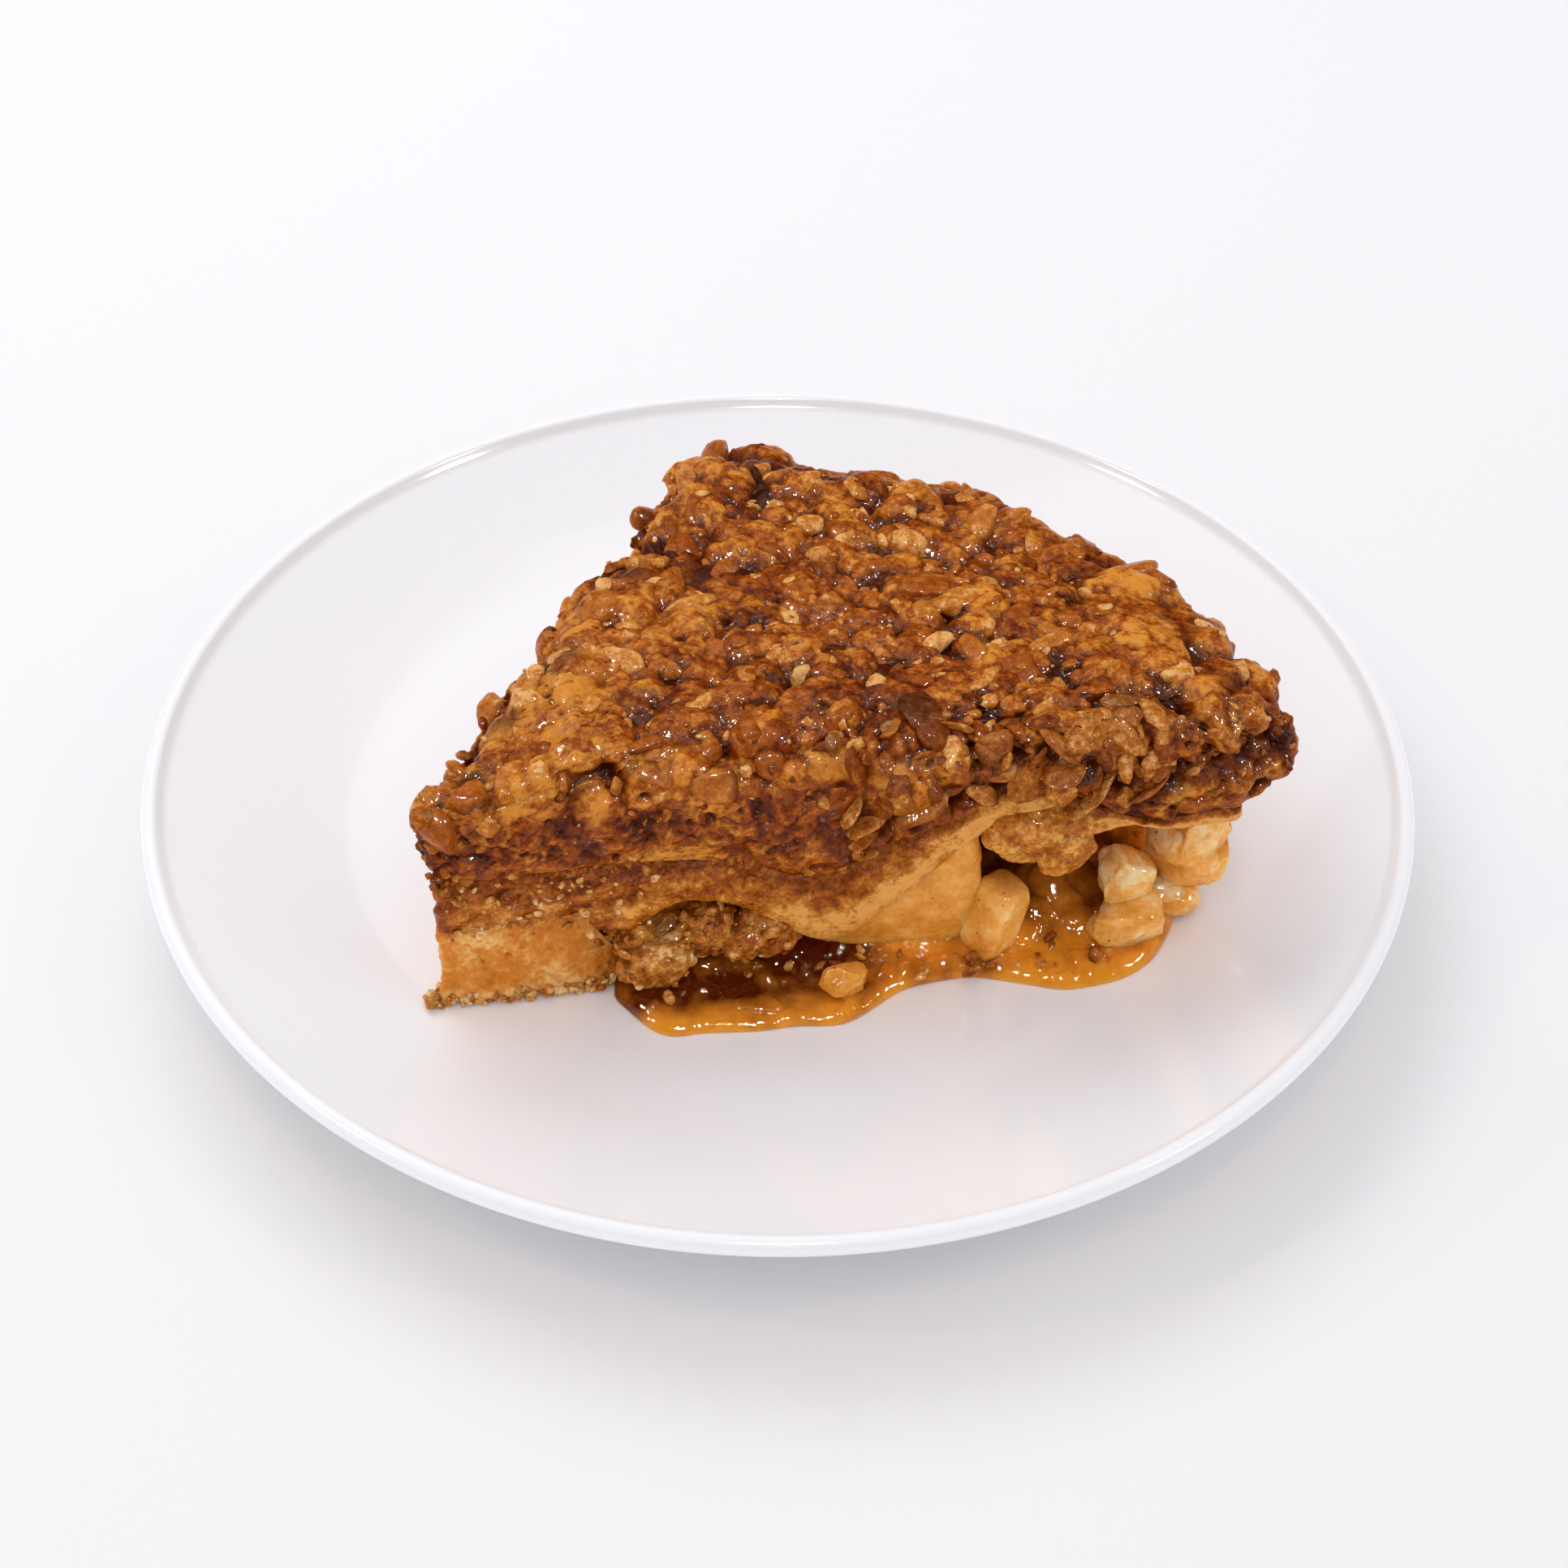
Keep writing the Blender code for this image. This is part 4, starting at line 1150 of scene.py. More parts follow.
@dataclass
class Topping(Layer):
    """The thick nut topping: a lumpy glazed core, with a torn front at the right.

    Attributes:
        samples: Points along the front cut, the rim and the left cut.
        side_rows: Rings from the foot to the shoulder.
        top_rows: Rings over the upper face.
        torn_pits: Deep pits in the front cut: S, height, width in millimetres.
        left_notches: Notches of the left cut: distance from the tip, width and depth.
        purple: Patches where fruit sugar browned purple: S, W, height and radius.
        shoulder: How far the cut edges drop below the mean upper face.
        rim_insets: How far the rim draws in at the shoulder and at the foot.
        front_insets: The same for the front cut.
        left_insets: The same for the left cut.
        grid: The rings with their relief, once made.
        normals: Their normals.
        side: Each ring's place on the side, from 0 at the foot to 1.
    """

    samples: tuple[int, int, int] = (212, 186, 162)
    side_rows: int = 46
    top_rows: int = 112
    torn_pits: tuple = (
        (98, 47, 1.2), (104, 43, 1.3), (111, 42, 1.2), (86, 45, 1.1), (92, 49, 1.0), (79, 44, 1.0)
    )
    left_notches: tuple = ((13, 6, 1.8), (38, 3, 4.4), (65, 3, 3.4))
    purple: tuple = ((16, 15, 51, 5), (25, 28, 52, 4), (36, 44, 51, 4))
    shoulder: float = 2.6 * MM
    rim_insets: tuple[float, float] = (10.5 * MM, 8.0 * MM)
    front_insets: tuple[float, float] = (3.8 * MM, 0.6 * MM)
    left_insets: tuple[float, float] = (1.2 * MM, 0.8 * MM)
    grid: Array = field(init=False)
    normals: Array = field(init=False)
    side: Array = field(init=False)
    label = "nut_topping_core"
    slot = Slot.TOPPING
    node = "nut_topping"

    def ring(self, share: float) -> tuple[Array, Array]:
        """Return one ring of the side, from its foot (0) to its shoulder (1).

        Args:
            share: Place on the side. Insets grow as powers of the distance from its middle.

        Returns:
            The ring and the rim mask.
        """
        cut = self.cut
        above = max(share - 0.5, 0.0) / 0.5
        below = max(0.5 - share, 0.0) / 0.5
        rim_inset = self.rim_insets[0] * above**2.3 + self.rim_insets[1] * below**1.8

        def front_inset(s: Array) -> Array:
            """Return the front's inset: it leans back above, but not at the tip."""
            lean = self.front_insets[0] * above**1.6 * smoothstep(0.0, 45 * MM, s)
            return lean + self.front_insets[1] * below**2

        left_inset = self.left_insets[0] * above**1.6 + self.left_insets[1] * below**2
        radius = cut.pie_radius - rim_inset
        ring, rim = cut.wedge(self.samples, radius, front_inset, left_inset, 1.5 * cut.corner)
        along = ring @ np.array((math.cos(cut.angle), math.sin(cut.angle)))
        depth = ring @ np.array((math.sin(cut.angle), -math.cos(cut.angle)))
        on_left = falloff(2 * MM, 6 * MM, depth) * (1.0 - rim)
        notches = self.left_notches
        notch = sum(deep * bump(along, at * MM, width * MM) for at, width, deep in notches)
        ring = ring - outward(ring) * ((notch - 0.8) * on_left * share * MM)[:, None]
        low = cut.topping_base(*ring.T)
        edge = self.shoulder * smoothstep(0.86, 1.0, np.array(share)) * (1 - rim)
        high = cut.topping_top(*ring.T) - edge
        return cut.lift(ring, low + (high - low) * share), rim

    def base_grid(self) -> tuple[Array, Array, Array]:
        """Return the smooth rings, the rim mask and each ring's place on the side."""
        cut = self.cut
        shares = np.linspace(0.0, 1.0, self.side_rows)
        sides = [self.ring(share) for share in shares]
        rim = sides[0][1]
        foot, edge = sides[0][0][:, :2], sides[-1][0][:, :2]
        shrunk = [cut.toward(foot, f) for f in (0.3, 0.6, 0.8, 0.92, 0.97)]
        under = [cut.lift(flat, cut.topping_base) for flat in shrunk]
        reach = np.linalg.norm(edge - np.array(cut.middle), axis=1)
        over = []
        for f in np.linspace(0.99, 0.015, self.top_rows):
            flat = cut.toward(edge, f)
            inside = (1.0 - f) * reach
            drop = self.shoulder * (1.0 - rim) * falloff(0.0, 4.2 * MM, inside)
            over.append(cut.lift(flat, cut.topping_top(*flat.T) - drop))
        place = np.concatenate([np.zeros(len(under)), shares, np.ones(len(over))])
        return np.array(under + [ring for ring, _ in sides] + over), rim, place

    def make(self) -> Form:
        """Add the relief of nuts, clumps, pores and torn pits to the smooth rings.

        The relief is a sum of nuts at 8.4, 4.6 and 2.3 mm, domes, drifting noise, and pores:
        in some of the cells of a 2 mm packing a round pit is sunk. The matte cut below the
        shoulder has less of the nuts and more of the pores.

        Returns:
            The core.
        """
        cut = self.cut
        grid, rim, place = self.base_grid()
        normals = loft_normals(grid)
        points = grid.reshape(-1, 3)
        s, w, z = points.T
        rim_all = np.tile(rim, len(grid))
        on_side = np.repeat(place, len(rim))
        heap = Lumps.over(points, 7.5 * MM, 51)
        large = Nuts.over(points, 8.4 * MM, 151, 2.3)
        medium = Nuts.over(points, 4.6 * MM, 201)
        shards = Nuts.over(points, 4.6 * MM, 301, 4.0)
        small = Lumps.over(points, 1.5 * MM, 251)
        grains = Nuts.over(points, 2.3 * MM, 401, 3.0)
        leaves = Nuts.over(points * np.array((0.75, 1.0, 1.7)), 3.4 * MM, 431, 3.5)
        pores = Lumps.over(points + 0.9 * MM, 2.0 * MM, 351)
        cells = Lumps.over(points * np.array((0.7, 1.0, 1.3)), 3.6 * MM, 451)
        on_front = (1.0 - rim_all) * falloff(5 * MM, 9 * MM, w)
        face = (1.0 - rim_all) * falloff(43 * MM, 48 * MM, z)
        calm = face * falloff(52 * MM, 76 * MM, s)
        torn = on_front * smoothstep(60 * MM, 80 * MM, s) * falloff(50 * MM, 54 * MM, z)
        pits = sum(
            bump(s, ps * MM, width * MM) * bump(z, pz * MM, width * MM) * (w < 9 * MM) * 3.4
            for ps, pz, width in self.torn_pits
        )
        open_pore = pores.tone > 0.5 - 0.14 * torn
        pore = open_pore * falloff(0.1, 0.4, pores.nearest) * np.maximum(face, torn)
        crack = (cells.tone > 0.5) * cells.seams(0.1) * np.maximum(calm, torn)
        nutty = 1.0 - 0.6 * calm
        clump = (heap.domes() - 0.55) * 1.5
        relief = clump + drift(points, 15 * MM, 61) * 1.0
        relief += (large.height - 0.42) * 3.4 * nutty
        relief += (medium.height - 0.4) * (2.0 + 0.8 * falloff(0.1, 0.6, large.height)) * nutty
        relief += (grains.height - 0.4) * 0.7
        relief += (leaves.height - 0.4) * 1.1 * calm
        relief += torn * ((shards.height - 0.35) * 3.4 - 2.6 * (shards.height < 0.12))
        relief += (small.domes() - 0.5) * 0.22 + roughen(points, 1.6 * MM, 71) * 0.16
        # The highest part sinks a little, so that its nuts keep their form below the ceiling.
        high = smoothstep(cut.ceiling - 5 * MM, cut.ceiling - 1.5 * MM, z)
        relief -= high * (0.9 + 0.8 * np.maximum(clump, 0.0))
        # Syrup fills some of the lowest valleys of the upper face, level and smooth.
        brim = -1.9 + 1.1 * drift(points, 9 * MM, 63)
        pooled = (1.0 - np.maximum(face, torn)) * smoothstep(-0.1, 0.5, brim - relief)
        relief = relief + (brim - relief) * pooled
        relief -= pore * (1.1 + 1.3 * torn) + crack * 0.8 + pits
        # Holes open between the nuts of the upper face.
        hole = (cells.tone > 0.72) * falloff(0.06, 0.3, cells.nearest) * (1.0 - face)
        relief -= 1.7 * hole
        # At the left the cut runs down into the pastry without a step.
        fading = on_side + 0.12 * drift(points, 6 * MM, 69) + smoothstep(58 * MM, 74 * MM, s)
        blend = on_front * falloff(0.06, 0.3, fading)
        relief *= 1.0 - 0.35 * blend
        strength = np.repeat(np.clip((place - 0.01) / 0.08, 0.0, 1.0), len(rim))
        facing = normals.reshape(-1, 3).copy()
        facing[:, 2] *= smoothstep(0.25, 0.6, on_side)
        moved = points + facing * (relief * strength * MM)[:, None]
        moved[:, 2] = settle(moved[:, 2], cut.ceiling)
        self.grid = moved.reshape(grid.shape)
        self.normals = loft_normals(self.grid)
        self.side = place
        # Crevices between nuts, cracks, pores, holes and pits get the dark seam colour: partly
        # syrup browned there, partly painted shade in the recesses.
        seam = 0.75 * large.creases(0.1) * (1.0 - 0.6 * calm)
        seam = np.maximum(seam, 0.6 * medium.creases(0.09) * (1.0 - 0.6 * calm))
        seam = np.maximum(seam, 0.3 * grains.creases(0.1))
        seam = np.maximum(seam, 0.65 * leaves.creases(0.1) * calm)
        seam = np.maximum(seam * (0.85 + 0.5 * drift(points, 6 * MM, 65)), 0.8 * crack)
        seam = np.maximum(seam, torn * 0.85 * shards.creases(0.12))
        seam = np.maximum(seam, 0.95 * np.maximum(np.maximum(pore, hole), np.clip(pits, 0, 1)))
        seam *= 1.0 - 0.45 * blend
        tone = 0.12 + 0.3 * large.tone + 0.32 * medium.tone - 0.14 * calm
        tone += 0.2 * (1.0 - face) * falloff(20 * MM, 44 * MM, s)
        tone += 0.15 * drift(points, 11 * MM, 67) - 0.2 * pooled + 0.3 * (medium.height - 0.4)
        tone += 0.34 * (grains.tone - 0.5) + 0.34 * blend - 0.04 * calm - 0.1 * torn
        tone -= 0.12 * calm * smoothstep(34 * MM, 48 * MM, s)
        # Raised relief is lighter and low relief darker, like the higher nuts above: partly glaze
        # thinning over the nuts, partly painted shade.
        tone += 0.16 * np.clip(relief / 1.6, -1.0, 1.0)
        patch = sum(
            np.exp(-(((s / MM - ps) ** 2 + (w / MM - pw) ** 2 + (z / MM - pz) ** 2) / pr**2))
            for ps, pw, pz, pr in self.purple
        )
        patch = np.clip(patch * (0.75 + 0.9 * drift(points, 4 * MM, 81)), 0, 0.75)
        heights = (cut.topping_base, cut.topping_top)
        return self.close(self.grid, *heights, tone=tone, seam=np.clip(seam, 0, 1), patch=patch)


@dataclass
class Scatter:
    """Many small chips of one kind, joined into one mesh.

    Attributes:
        name: Name of the piece.
        count: Number of chips.
        size: Smallest and largest width in millimetres.
        shape: Width, depth and height of a chip as shares of its size.
        level: Subdivision level of a chip.
        planes: Flat sides of a chip.
        crisp: 4 for rounded edges between the flat sides, 16 for sharp ones.
        sink: Share of the height below the surface that carries it.
        tilt: Largest tilt from that surface, in degrees.
        bend: How much a chip curls, as a share of its size.
        seed: Seed of all random draws.
    """

    name: str
    count: int
    size: tuple[float, float]
    shape: Triple = (1.0, 0.8, 0.6)
    level: int = 2
    planes: int = 8
    crisp: float = 7.0
    sink: float = 0.35
    tilt: float = 25.0
    bend: float = 0.0
    seed: int = 1

    def make(self, places: Array, facing: Array, tones: tuple[float, float]) -> Form:
        """Make the chips: each is a stone cut by random flat sides.

        Args:
            places: Points where the chips lie, in the row's frame.
            facing: Normals of what carries them.
            tones: Smallest and largest tone.

        Returns:
            The chips as one form.
        """
        draw = np.random.default_rng(self.seed)
        ball, faces = sphere(self.level)
        n = len(places)
        sides = unit(draw.normal(size=(n, self.planes, 3)))
        sides = np.concatenate([sides, -sides[:, :2]], axis=1)
        away = draw.uniform(0.62, 1.0, size=sides.shape[:2])
        reach = cut_stone(ball, sides, away, self.crisp)
        local = ball[None] * reach[:, :, None] * 0.5
        local = local * np.array(self.shape) * draw.uniform(0.75, 1.25, size=(n, 1, 3))
        local[..., 2] += self.bend * (local[..., 0] ** 2 - 0.15) * draw.uniform(-2, 2, size=(n, 1))
        low, high = self.size
        size = (low + (high - low) * draw.uniform(size=n) ** 1.7) * MM
        local *= size[:, None, None]
        tilt = np.radians(draw.uniform(-self.tilt, self.tilt, size=(n, 2)))
        spin = turns(np.column_stack([tilt, draw.uniform(0, 2 * math.pi, size=n)]))
        local = np.einsum("nij,nvj->nvi", spin, local)
        steep = np.abs(facing[:, :1]) < 0.9
        side = unit(np.cross(facing, np.where(steep, (1.0, 0, 0), (0, 1.0, 0))))
        basis = np.stack([side, np.cross(facing, side), facing], axis=1)
        height = local[..., 2] + (0.5 - self.sink) * self.shape[2] * size[:, None]
        world = np.einsum("nvj,njd->nvd", np.dstack([local[..., :2], height]), basis)
        world += places[:, None, :]
        tone = tones[0] + (tones[1] - tones[0]) * draw.uniform(size=n)
        # The low part of each chip, where it sinks into what carries it, is darkened as painted
        # shade.
        foot = falloff(-0.36, -0.12, height / size[:, None])
        starts = np.arange(n)[:, None, None] * len(ball)
        joined = (np.array(faces)[None] + starts).reshape(-1, 3)
        values = {
            "tone": np.repeat(tone, len(ball)),
            "seam": 0.6 * foot.ravel(),
            "patch": np.zeros(n * len(ball)),
        }
        return Form(world.reshape(-1, 3), joined.tolist(), values)

    def lay(
        self, places: Array, facing: Array, tones: tuple[float, float], seam: float
    ) -> Callable[[Material, Slot], None]:
        """Make the chips with a share of the painted shade at their feet.

        Args:
            places: Points where the chips lie, in the row's frame.
            facing: One normal for all of them, or one for each.
            tones: Smallest and largest tone.
            seam: Share of the painted shade at their feet.

        Returns:
            A function that makes the piece from a material and a slot.
        """
        form = self.make(places, np.broadcast_to(facing, places.shape), tones)
        form.values["seam"] *= seam
        return lambda finish, slot: form.piece(self.name, finish, slot)


@dataclass
class ToppingBits:
    """Chopped nuts, flakes and grit that lie on the topping or stand out of its front.

    Attributes:
        topping: The core that carries them, already made.
    """

    topping: Topping

    def build(self, finish: Material, broken: Material) -> None:
        """Make the pieces: large and small nuts, flakes at the torn front, and grit.

        Args:
            finish: Material of the nuts that lie in the glaze.
            broken: Material of what stands out of the broken front.
        """
        cut, grid = self.topping.cut, self.topping.grid
        normals = self.topping.normals.reshape(-1, 3)
        s, w = grid.reshape(-1, 3)[:, :2].T
        side = np.repeat(self.topping.side, grid.shape[1])
        draw = np.random.default_rng(5)
        # Rings lie closer together near the middle, so they are thinned by their length.
        ring = np.linalg.norm(np.roll(grid, -1, axis=1) - grid, axis=2).ravel()
        even = draw.uniform(size=len(s)) < ring / ring.max()
        top = (side > 0.75) & even
        front = (side > 0.2) & (side < 0.97) & (w < 8 * MM) & even
        torn = front & (s > 62 * MM) & (s < 111 * MM)
        depth = s * math.sin(cut.angle) - w * math.cos(cut.angle)
        back = (side > 0.15) & (side < 0.95) & (w > 8 * MM) & (depth > 12 * MM) & even
        flat = dict(shape=(1.0, 0.8, 0.3), planes=5, crisp=22.0, tilt=40, bend=0.1, level=3)
        # Each kind with its finish, where it lies, its smallest gap in mm and its tones.
        kinds = (
            (Scatter("chopped_nuts_large", 130, (4.0, 7.5), level=3, seed=11, sink=0.8),
             finish, top, 5.4, (0.34, 0.95)),
            (Scatter("chopped_nuts_small", 300, (1.8, 3.8), seed=12, sink=0.78),
             finish, top, 2.8, (0.3, 0.95)),
            (Scatter("nuts_at_the_rim", 90, (2.4, 5.0), seed=13, sink=0.9),
             finish, back, 4.5, (0.3, 0.8)),
            (Scatter("torn_flakes", 84, (4.4, 8.4), sink=0.75, seed=14, **flat),
             broken, torn, 3.4, (0.3, 0.85)),
            (Scatter("cut_nuts", 120, (1.2, 3.2), planes=7, sink=0.84, tilt=40, seed=15),
             broken, front, 2.2, (0.2, 0.85)),
            (Scatter("topping_grit", 420, (0.5, 1.2), level=1, planes=6, sink=0.5, seed=16),
             finish, (side > 0.3) & even, 0.8, (0.3, 1.0)),
        )
        self.along_joint(broken)
        for scatter, look, keep, apart, tones in kinds:
            points = grid.reshape(-1, 3)[keep]
            picked = spread(points, scatter.count, apart * MM, scatter.seed)
            facing = cut.turned(normals[keep][picked])
            form = scatter.make(cut.world(points[picked]), facing, tones)
            form.points[:, 2] = settle(form.points[:, 2], cut.ceiling + 0.2 * MM)
            form.piece(scatter.name, look, Slot.TOPPING)

    def along_joint(self, finish: Material) -> None:
        """Press small broken nuts into the cut where the topping meets the pastry.

        Args:
            finish: Their material.
        """
        cut = self.topping.cut
        draw = np.random.default_rng(31)
        count = 150
        s = (3 + 70 * draw.uniform(size=count)) * MM
        w = np.full(count, 0.35 * MM)
        z = cut.topping_base(s, w) + draw.normal(0.2, 1.3, size=count) * MM
        scatter = Scatter("joint_crumbs", count, (1.0, 3.0), sink=0.62, tilt=35, seed=32)
        places = cut.world(np.column_stack([s, w, z]))
        scatter.lay(places, cut.turned(FRONT), (0.2, 0.75), 0.5)(finish, Slot.TOPPING)


@dataclass
class Block:
    """A rounded block of food: a sphere pushed towards a box, then made uneven.

    Attributes:
        name: Name of the node that it stands for.
        centre: Middle, in millimetres of the slice's frame.
        size: Width, depth and height in millimetres.
        turn: Turns about S, W and Z in degrees.
        boxy: 0 for an ellipsoid, near 1 for a box.
        rough: Unevenness as a share of the size.
        seed: Seed of the unevenness.
        level: Subdivision level.
        craggy: Depth of the fine crags in millimetres.
        lobes: Depth of the lobes, about 5 mm wide, in millimetres.
        grow: How far it swells into the syrup round it, in millimetres.
        facets: Flat sides that a knife left on it, or 0.
    """

    name: str
    centre: Triple
    size: Triple
    turn: Triple = (0.0, 0.0, 0.0)
    boxy: float = 0.5
    rough: float = 0.07
    seed: int = 1
    level: int = 5
    craggy: float = 0.12
    lobes: float = 0.4
    grow: float = 0.4
    facets: int = 0

    def make(self, cut: Slice, ceiling: Height, floor: Height | None = None) -> Form:
        """Make the block between a floor and a ceiling.

        A point p of the unit sphere becomes sign(p) |p|^q, scaled back to a superellipsoid
        of power 2 / q, and is moved in or out by drifting noise.

        Args:
            cut: The slice's outline and heights.
            ceiling: Height that the block stays under.
            floor: Height that the block stays over, the plate's if none is given.

        Returns:
            The block.
        """
        ball, faces = sphere(self.level)
        power = 1.0 - 0.62 * self.boxy
        points = np.sign(ball) * np.abs(ball) ** power
        points /= np.linalg.norm(points, ord=2 / power, axis=1, keepdims=True)
        uneven = drift(points + 7.3 * self.seed, 0.9, self.seed)
        uneven += 0.5 * drift(points, 0.45, self.seed + 5)
        points *= 1.0 + self.rough * uneven[:, None]
        if self.facets:
            draw = np.random.default_rng(self.seed + 3)
            sides = unit(draw.normal(size=(1, self.facets, 3)))
            away = draw.uniform(0.6, 0.86, size=(1, self.facets))
            reach = cut_stone(ball, sides, away, 24.0)[0]
            points *= np.minimum(1.0, reach / np.linalg.norm(points, axis=1))[:, None]
        points *= 0.5 * np.array(self.size) * MM
        points = points @ turns(np.radians([self.turn]))[0].T + np.array(self.centre) * MM
        crags = Lumps.over(points, 1.3 * MM, self.seed + 40)
        away = unit(points - np.array(self.centre) * MM)
        fine = (crags.domes() - 0.5) + roughen(points, 2.0 * MM, self.seed + 60)
        lobes = Nuts.over(points, 5.2 * MM, 700 + self.seed, 2.2)
        step = fine * self.craggy + (lobes.height - 0.45) * 2.0 * self.lobes + self.grow
        points += away * (step * MM)[:, None]
        limit = ceiling(points[:, 0], points[:, 1]) + 1.6 * MM
        points[:, 2] = np.minimum(points[:, 2], limit)
        base = (floor or cut.floor)(points[:, 0], points[:, 1])
        points[:, 2] = np.maximum(points[:, 2], base + 0.05 * MM)
        # Creases between lobes and crags are darkened and higher lobes lightened, as painted shade.
        dips = 0.6 * lobes.creases(0.05) * min(self.lobes, 0.8)
        tone = 0.55 + 0.3 * drift(points, 6 * MM, self.seed + 80)
        values = {
            "tone": tone + 0.25 * (lobes.height - 0.5),
            "seam": np.maximum(dips, 0.5 * (crags.nearest > 0.75) * min(self.craggy, 1.0)),
            "patch": 0.7 * falloff(0.0, 4.5 * MM, points[:, 2] - base),
        }
        return Form(cut.world(points), faces, values)


APPLE_BLOCKS = (
    Block("apple_slice", (72, 3.6, 21.5), (25, 7, 29), (4, 0, -4), 0.7, 0.05, 1, 6, 0.12, 0.12),
    Block("apple_wedge_small", (87, 0.2, 16.6), (7.0, 7.2, 13), (6, 12, 38), 1.0, 0.03, 2,
          lobes=0.05, grow=0.0),
    Block("apple_cube", (107, 3.6, 20.6), (7.6, 8, 7.6), (8, 14, 12), 0.8, 0.08, 3,
          craggy=0.3, lobes=0.15, grow=0.6, facets=11),
    Block("apple_chunk_low", (106.8, -0.5, 13), (11, 8.5, 7), (0, -8, -10), 0.7, 0.1, 4,
          craggy=0.3, lobes=0.25, grow=0.8, facets=11),
    Block("apple_chunk_right", (118, 7.2, 23.3), (11.4, 13, 17), (0, 6, 10), 0.55, 0.1, 5,
          craggy=0.4, lobes=0.9, facets=9),
    Block("apple_chunk_foot", (115.5, 8, 12.1), (9.5, 11, 4.4), rough=0.08, seed=6,
          craggy=0.3, lobes=0.6),
    Block("apple_bit_in_syrup", (63.5, -6.5, 12.0), (7.0, 4.8, 5), (10, 20, 35), 0.7, 0.1, 7,
          craggy=0.3, lobes=0.2, facets=9),
)
PASTRY_BLOCKS = (
    Block("pastry_lump_large", (51.4, 2.8, 17.3), (11, 9, 7.5), (0, -18, 5), 0.4, seed=8,
          craggy=0.7, lobes=0.8),
    Block("pastry_lump_small", (43.4, 2.4, 19.6), (5.6, 7, 8), (0, 25, 0), 0.45, seed=9,
          craggy=0.7, lobes=0.7),
    Block("pastry_crumbs", (35.5, 2.0, 15.4), (10, 8, 9), rough=0.14, seed=60,
          craggy=0.8, lobes=0.9),
)
FLAPS = tuple(
    Block("flap", centre, size, turn, rough=0.14, seed=seed, craggy=0.35, lobes=0.6)
    for centre, size, turn, seed in (
        ((93, 2.5, 33), (15, 9, 9), (0, 12, 0), 41),
        ((96.5, 1.5, 29.5), (8, 7, 8), (20, -25, 0), 42),
        ((90.5, 1.6, 30.5), (6, 6, 6), (0, 30, 10), 43),
    )
)


@dataclass
class ApplePieces:
    """Stewed apple that shows in the two cuts.

    Attributes:
        cut: The slice's outline and heights.
        left: Pieces of the left cut: distance from the tip, height, size and tilt.
        behind: How far those lie behind the left cut, in millimetres.
    """

    cut: Slice
    left: tuple = (
        (42, 21.0, (12, 9, 8), -20),
        (56, 19.0, (15, 9, 12), 12),
        (71.5, 18.2, (12, 10, 9), -28),
        (83, 20.5, (9, 9, 12), 10),
    )
    behind: float = 4.2

    def left_blocks(self) -> list[Block]:
        """Return the blocks of the left cut."""
        angle = self.cut.angle
        into = np.array((math.sin(angle), -math.cos(angle))) * self.behind
        along = np.array((math.cos(angle), math.sin(angle)))
        blocks = []
        for i, (reach, height, size, tilt) in enumerate(self.left):
            place = (*map(float, along * reach + into), height)
            turn = (0.0, float(tilt), math.degrees(angle))
            name = f"apple_left_{i + 1}"
            blocks.append(Block(name, place, size, turn, 0.65, rough=0.08, seed=30 + i))
        return blocks

    def build(self, finish: Material) -> None:
        """Make every piece and let it stand for its node.

        Args:
            finish: Material of the apple.
        """
        cut = self.cut

        def crust_floor(s: Array, w: Array) -> Array:
            """Return the level of the crust's floor."""
            return np.full(len(s), cut.floor_top + cut.gap)

        for blocks, floor in ((APPLE_BLOCKS, None), (self.left_blocks(), crust_floor)):
            for block in blocks:
                form = block.make(cut, cut.pastry_base, floor)
                form.values["tone"] += 0.12 * (block.centre[0] > 100)
                form.piece(f"stewed_{block.name}", finish, Slot.APPLE, [block.name])


